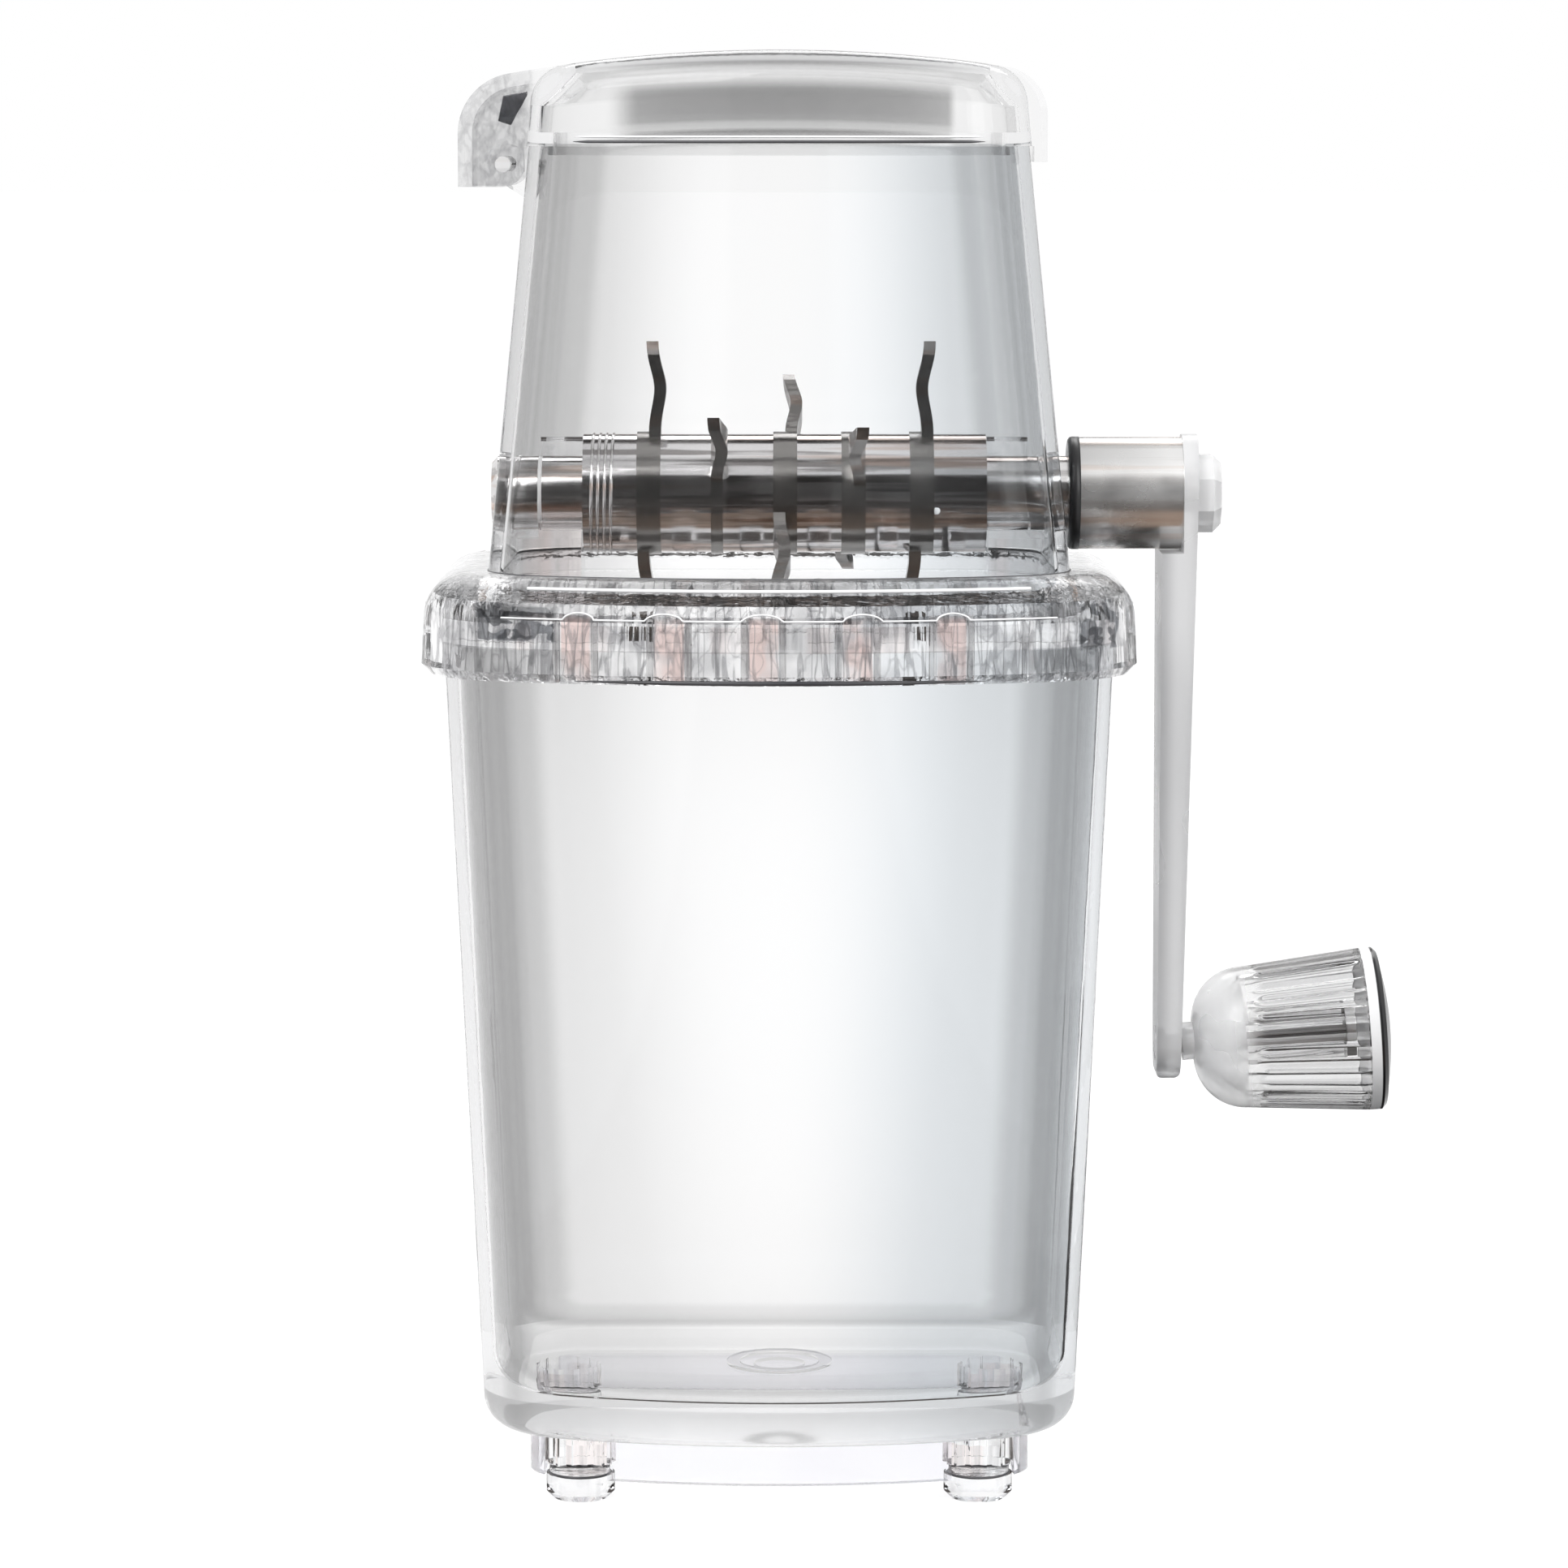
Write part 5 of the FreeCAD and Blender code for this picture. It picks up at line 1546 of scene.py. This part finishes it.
@dataclass(frozen=True)
class LidTrim:
    """Dark plate inside the lid's lug, and a painted shadow line and a painted highlight line along the lid's
    lower edge. Millimetres.

    Args:
        corners: Its outline (x, z).
        front: Its front.
        thickness: Its thickness.
        bevel: Width of its bevels.
        lines: Name, height, radius and finish of each line.
        line_half: Half the lines' length along X.
        lid_front: Distance of the lid's front from the middle.
    """

    corners: tuple[tuple[float, float], ...] = (
        (-46.6, 228.6), (-45.7, 232.8), (-41.7, 233.5), (-41.7, 232.8), (-43.0, 231.0), (-44.4, 227.9),
    )
    front: float = -7.6
    thickness: float = 1.2
    bevel: float = 0.2
    lines: tuple[tuple[str, float, float, Look], ...] = (
        ("lid_shadow", 225.25, 0.26, Look.SEAM), ("lid_glint", 226.05, 0.2, Look.WHITE_BEAD),
    )
    line_half: float = 39.0
    lid_front: float = 31.0

    def build(self, shop: Workshop) -> None:
        """Adds the web and the lines."""
        unit = MILLIMETRE
        corners = [(x * unit, z * unit) for x, z in self.corners]
        mesh = plate(corners, self.front * unit, (self.front + self.thickness) * unit, self.bevel * unit)
        # a dark plate inside the lid's lug
        shop.piece("lug_web", mesh, Body.LID, Slot.CLEAR, Look.SMOKED, smooth=False)
        steps = 160
        spread = [-self.line_half + 2 * self.line_half * step / (steps - 1) for step in range(steps)]
        angles = [math.atan2(-self.lid_front, x) for x in spread]
        for name, height, radius, look in self.lines:
            line = shop.outline("lid", height * unit, angles, False)
            ends = [min(1.0, 8 * (1.02 - abs(2 * index / (len(line) - 1) - 1))) for index in range(len(line))]
            shop.piece(name, tube(line, [radius * unit * end for end in ends]), Body.LID, Slot.CLEAR, look)


@dataclass(frozen=True)
class FootTrim:
    """Thin dark ring round the neck of each foot. Millimetres.

    Args:
        places: Middles of the four feet (x, y).
        height: Height of the rings.
        radius: Radius of a ring.
        wire: Radius of its section.
    """

    places: tuple[tuple[float, float], ...] = ((-33.2, -24.0), (33.2, -24.0), (-37.0, 18.0), (37.0, 18.0))
    height: float = 4.3
    radius: float = 5.25
    wire: float = 0.22

    def build(self, shop: Workshop) -> None:
        """Adds the rings as copies of one on four points."""
        unit = MILLIMETRE
        recipe = Recipe("foot_rings", {
            "Radius": self.radius * unit, "Wire": self.wire * unit, "Height": self.height * unit,
        })
        ring = recipe.node("GeometryNodeCurvePrimitiveCircle", None, {
            "Resolution": 64, "Radius": recipe.size("Radius"),
        })
        section = recipe.node("GeometryNodeCurvePrimitiveCircle", None, {
            "Resolution": 8, "Radius": recipe.size("Wire"),
        })
        swept = recipe.node("GeometryNodeCurveToMesh", None, {
            "Curve": ring.outputs["Curve"], "Profile Curve": section.outputs["Curve"],
        })
        joined = recipe.node("GeometryNodeJoinGeometry")
        for x, y in self.places:
            point = recipe.node("GeometryNodeMeshLine", {"mode": "OFFSET"}, {
                "Count": 1, "Start Location": recipe.place(x * unit, y * unit, recipe.size("Height")),
            })
            recipe.tree.links.new(point.outputs["Mesh"], joined.inputs["Geometry"])
        spread = recipe.node("GeometryNodeInstanceOnPoints", None, {
            "Points": joined.outputs["Geometry"], "Instance": swept.outputs["Mesh"],
        })
        mesh = recipe.cook(spread.outputs["Instances"], shop.wardrobe.finish(Look.SEAM))
        shop.piece("foot_rings", mesh, Body.BASE, Slot.CLEAR, Look.SEAM)


# ---------------------------------------------------------------- studio


@dataclass(frozen=True)
class SoftBox:
    """Area lamp that points at the middle of the object.

    Args:
        name: Name of the lamp.
        place: Where it stands.
        width: Width in metres.
        height: Height in metres.
        power: Watts.
    """

    name: str
    place: Point
    width: float
    height: float
    power: float

    def build(self, target: Vector) -> None:
        """Adds the lamp.

        Args:
            target: Point that it faces.
        """
        light = bpy.data.lights.new(self.name, "AREA")
        light.shape = "RECTANGLE"
        light.size = self.width
        light.size_y = self.height
        light.energy = self.power
        lamp = bpy.data.objects.new(self.name, light)
        lamp.location = self.place
        lamp.rotation_euler = (target - Vector(self.place)).to_track_quat("-Z", "Y").to_euler()
        bpy.context.scene.collection.objects.link(lamp)


@dataclass(frozen=True)
class Card:
    """Flat card beside the set, which shows in reflections alone.

    Args:
        name: Name of the card.
        corners: Its four corners in order.
        colour: Its colour.
    """

    name: str
    corners: tuple[Point, Point, Point, Point]
    colour: Colour

    def build(self) -> None:
        """Adds the card."""
        mesh = bpy.data.meshes.new(self.name)
        mesh.from_pydata(self.corners, [], [(0, 1, 2, 3)])
        board = bpy.data.objects.new(self.name, mesh)
        bpy.context.scene.collection.objects.link(board)
        coat = Coat(self.name)
        depth = Value(coat, coat.node("ShaderNodeLightPath").outputs["Glossy Depth"])
        clear = coat.node("ShaderNodeBsdfTransparent")
        paper = coat.node("ShaderNodeEmission", None, {"Color": opaque(self.colour), "Strength": 1.0})
        both = coat.node("ShaderNodeMixShader", None, {
            0: depth.over(0.5), 1: clear.outputs[0], 2: paper.outputs[0],
        })
        coat.node("ShaderNodeOutputMaterial", None, {"Surface": both.outputs[0]})
        mesh.materials.append(coat.material)
        board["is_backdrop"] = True


DARK_PAPER: Colour = (0.05, 0.048, 0.047)
DIM_PAPER: Colour = (0.11, 0.10, 0.095)
WARM_PAPER: Colour = (0.36, 0.27, 0.215)


@dataclass
class Studio:
    """White room and floor, soft lamps, and a few cards that give the metal its dark bands.

    Args:
        floor_size: Side of the floor.
        level: Brightness that the room gives to matt surfaces.
        glow: Brightness of the floor itself.
        floor_grey: Colour of the floor, which takes the object's shadow.
        bounces: How often light may bounce, which the clear walls need.
        gloss_bounces: How often it may be mirrored.
        lamps: The lamps.
        cards: The cards.
    """

    floor_size: float = 40.0
    level: float = 0.80
    glow: float = 0.86
    floor_grey: Colour = (0.22, 0.22, 0.222)
    bounces: int = 28
    gloss_bounces: int = 10
    lamps: tuple[SoftBox, ...] = (
        SoftBox("key", (-0.45, -0.75, 0.95), 0.7, 0.5, 9.0),
        SoftBox("fill", (0.8, -0.5, 0.6), 0.5, 0.7, 4.5),
        SoftBox("back", (0.1, 0.9, 0.9), 0.9, 0.4, 4.0),
    )
    cards: tuple[Card, ...] = (
        Card("card_front", ((-0.22, -1.3, 0.0), (0.22, -1.3, 0.0), (0.22, -1.3, 1.2), (-0.22, -1.3, 1.2)),
             DARK_PAPER),
        Card("card_table", ((-0.2, -1.2, 0.02), (0.2, -1.2, 0.02), (0.16, -0.22, 0.02), (-0.12, -0.22, 0.02)),
             DIM_PAPER),
        Card("card_warm", ((-0.12, -0.22, 0.02), (0.16, -0.22, 0.02), (0.12, -0.058, 0.02),
                           (-0.1, -0.058, 0.02)), WARM_PAPER),
        Card("card_side", ((0.05, -0.058, 0.02), (0.12, -0.058, 0.02), (0.12, 0.4, 0.02), (0.05, 0.4, 0.02)),
             DARK_PAPER),
        # painted shadow: a dim card under the object, where reflections of the floor show its shadow
        Card("card_under", ((-0.043, -0.034, 0.0004), (0.043, -0.034, 0.0004), (0.043, 0.03, 0.0004),
                            (-0.043, 0.03, 0.0004)), DIM_PAPER),
        Card("card_back", ((-0.2, 1.5, 0.57), (0.25, 1.5, 0.57), (0.4, 1.5, 3.4), (-0.3, 1.5, 3.4)),
             DIM_PAPER),
    )

    def background(self, tree: Tree) -> Value:
        """1 for rays that show the background, straight, mirrored or through clear plastic, else 0."""
        path = tree.node("ShaderNodeLightPath")
        rays = [Value(tree, path.outputs[f"Is {kind} Ray"]) for kind in ("Camera", "Glossy", "Transmission")]
        return (rays[0] + rays[1] + rays[2]).clamped()

    def room(self) -> None:
        """Builds the world."""
        world = bpy.data.worlds.new("room")
        world.use_nodes = True
        bpy.context.scene.world = world
        tree = Tree(world.node_tree)
        strength = tree.spread(self.background(tree), 0.0, 1.0, self.level, 1.0, "LINEAR")
        walls = tree.node("ShaderNodeBackground", None, {"Color": opaque((1, 1, 1)), "Strength": strength})
        tree.node("ShaderNodeOutputWorld", None, {"Surface": walls.outputs[0]})

    def floor(self) -> None:
        """Builds the floor: white with the object's shadow."""
        mesh = bpy.data.meshes.new("floor")
        half = self.floor_size / 2
        mesh.from_pydata([(-half, -half, 0), (half, -half, 0), (half, half, 0), (-half, half, 0)], [],
                         [(0, 1, 2, 3)])
        plane = bpy.data.objects.new("floor", mesh)
        bpy.context.scene.collection.objects.link(plane)
        coat = Coat("floor_paint")
        coat.surface({
            "Base Color": opaque(self.floor_grey),
            "Roughness": coat.varied(coat.noise(60.0), 0.85, 0.95),
            "Specular IOR Level": 0.0,
            "Emission Color": coat.mixed(self.background(coat) * self.glow, (0.0, 0.0, 0.0), (1.0, 1.0, 1.0)),
            "Emission Strength": 1.0,
        })
        mesh.materials.append(coat.material)
        plane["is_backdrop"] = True

    def build(self, middle: Vector) -> None:
        """Builds the room, the floor, the lamps and the cards.

        Args:
            middle: Middle of the object, which the lamps face.
        """
        self.room()
        self.floor()
        for lamp in self.lamps:
            lamp.build(middle)
        for card in self.cards:
            card.build()
        light = bpy.context.scene.cycles
        light.max_bounces = self.bounces
        light.transmission_bounces = self.bounces
        light.glossy_bounces = self.gloss_bounces


@dataclass(frozen=True)
class Eye:
    """Camera level with the lid that looks slightly down.

    Args:
        place: Where it stands.
        pitch: Degrees below the horizon.
        lens: Focal length in millimetres on a sensor of sensor_width.
        sensor_width: Width of the sensor in millimetres.
    """

    place: Point = (0.0008, -0.950, 0.2271)
    pitch: float = 6.6
    lens: float = 129.73
    sensor_width: float = 36.0

    def build(self) -> None:
        """Adds the camera and makes it the scene's own."""
        data = bpy.data.cameras.new("eye")
        data.sensor_fit = "HORIZONTAL"
        data.sensor_width = self.sensor_width
        data.lens = self.lens
        data.clip_start = 0.01
        data.clip_end = 100.0
        camera = bpy.data.objects.new("eye", data)
        camera.location = self.place
        camera.rotation_euler = (math.radians(90.0 - self.pitch), 0.0, 0.0)
        bpy.context.scene.collection.objects.link(camera)
        bpy.context.scene.camera = camera


def main() -> None:
    """Loads the frame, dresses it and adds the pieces."""
    logging.basicConfig(level=logging.INFO, format="%(name)s: %(message)s")
    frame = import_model()
    low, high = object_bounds()
    wardrobe = Wardrobe(frame)
    wardrobe.dress()
    shop = Workshop(wardrobe, frame)
    for trim in (RotorTrim(), CollarTrim(), LidTrim(), FootTrim()):
        trim.build(shop)
    Studio().build((low + high) / 2)
    Eye().build()
    bpy.context.scene.view_settings.view_transform = "Standard"


if __name__ == "__main__":
    main()
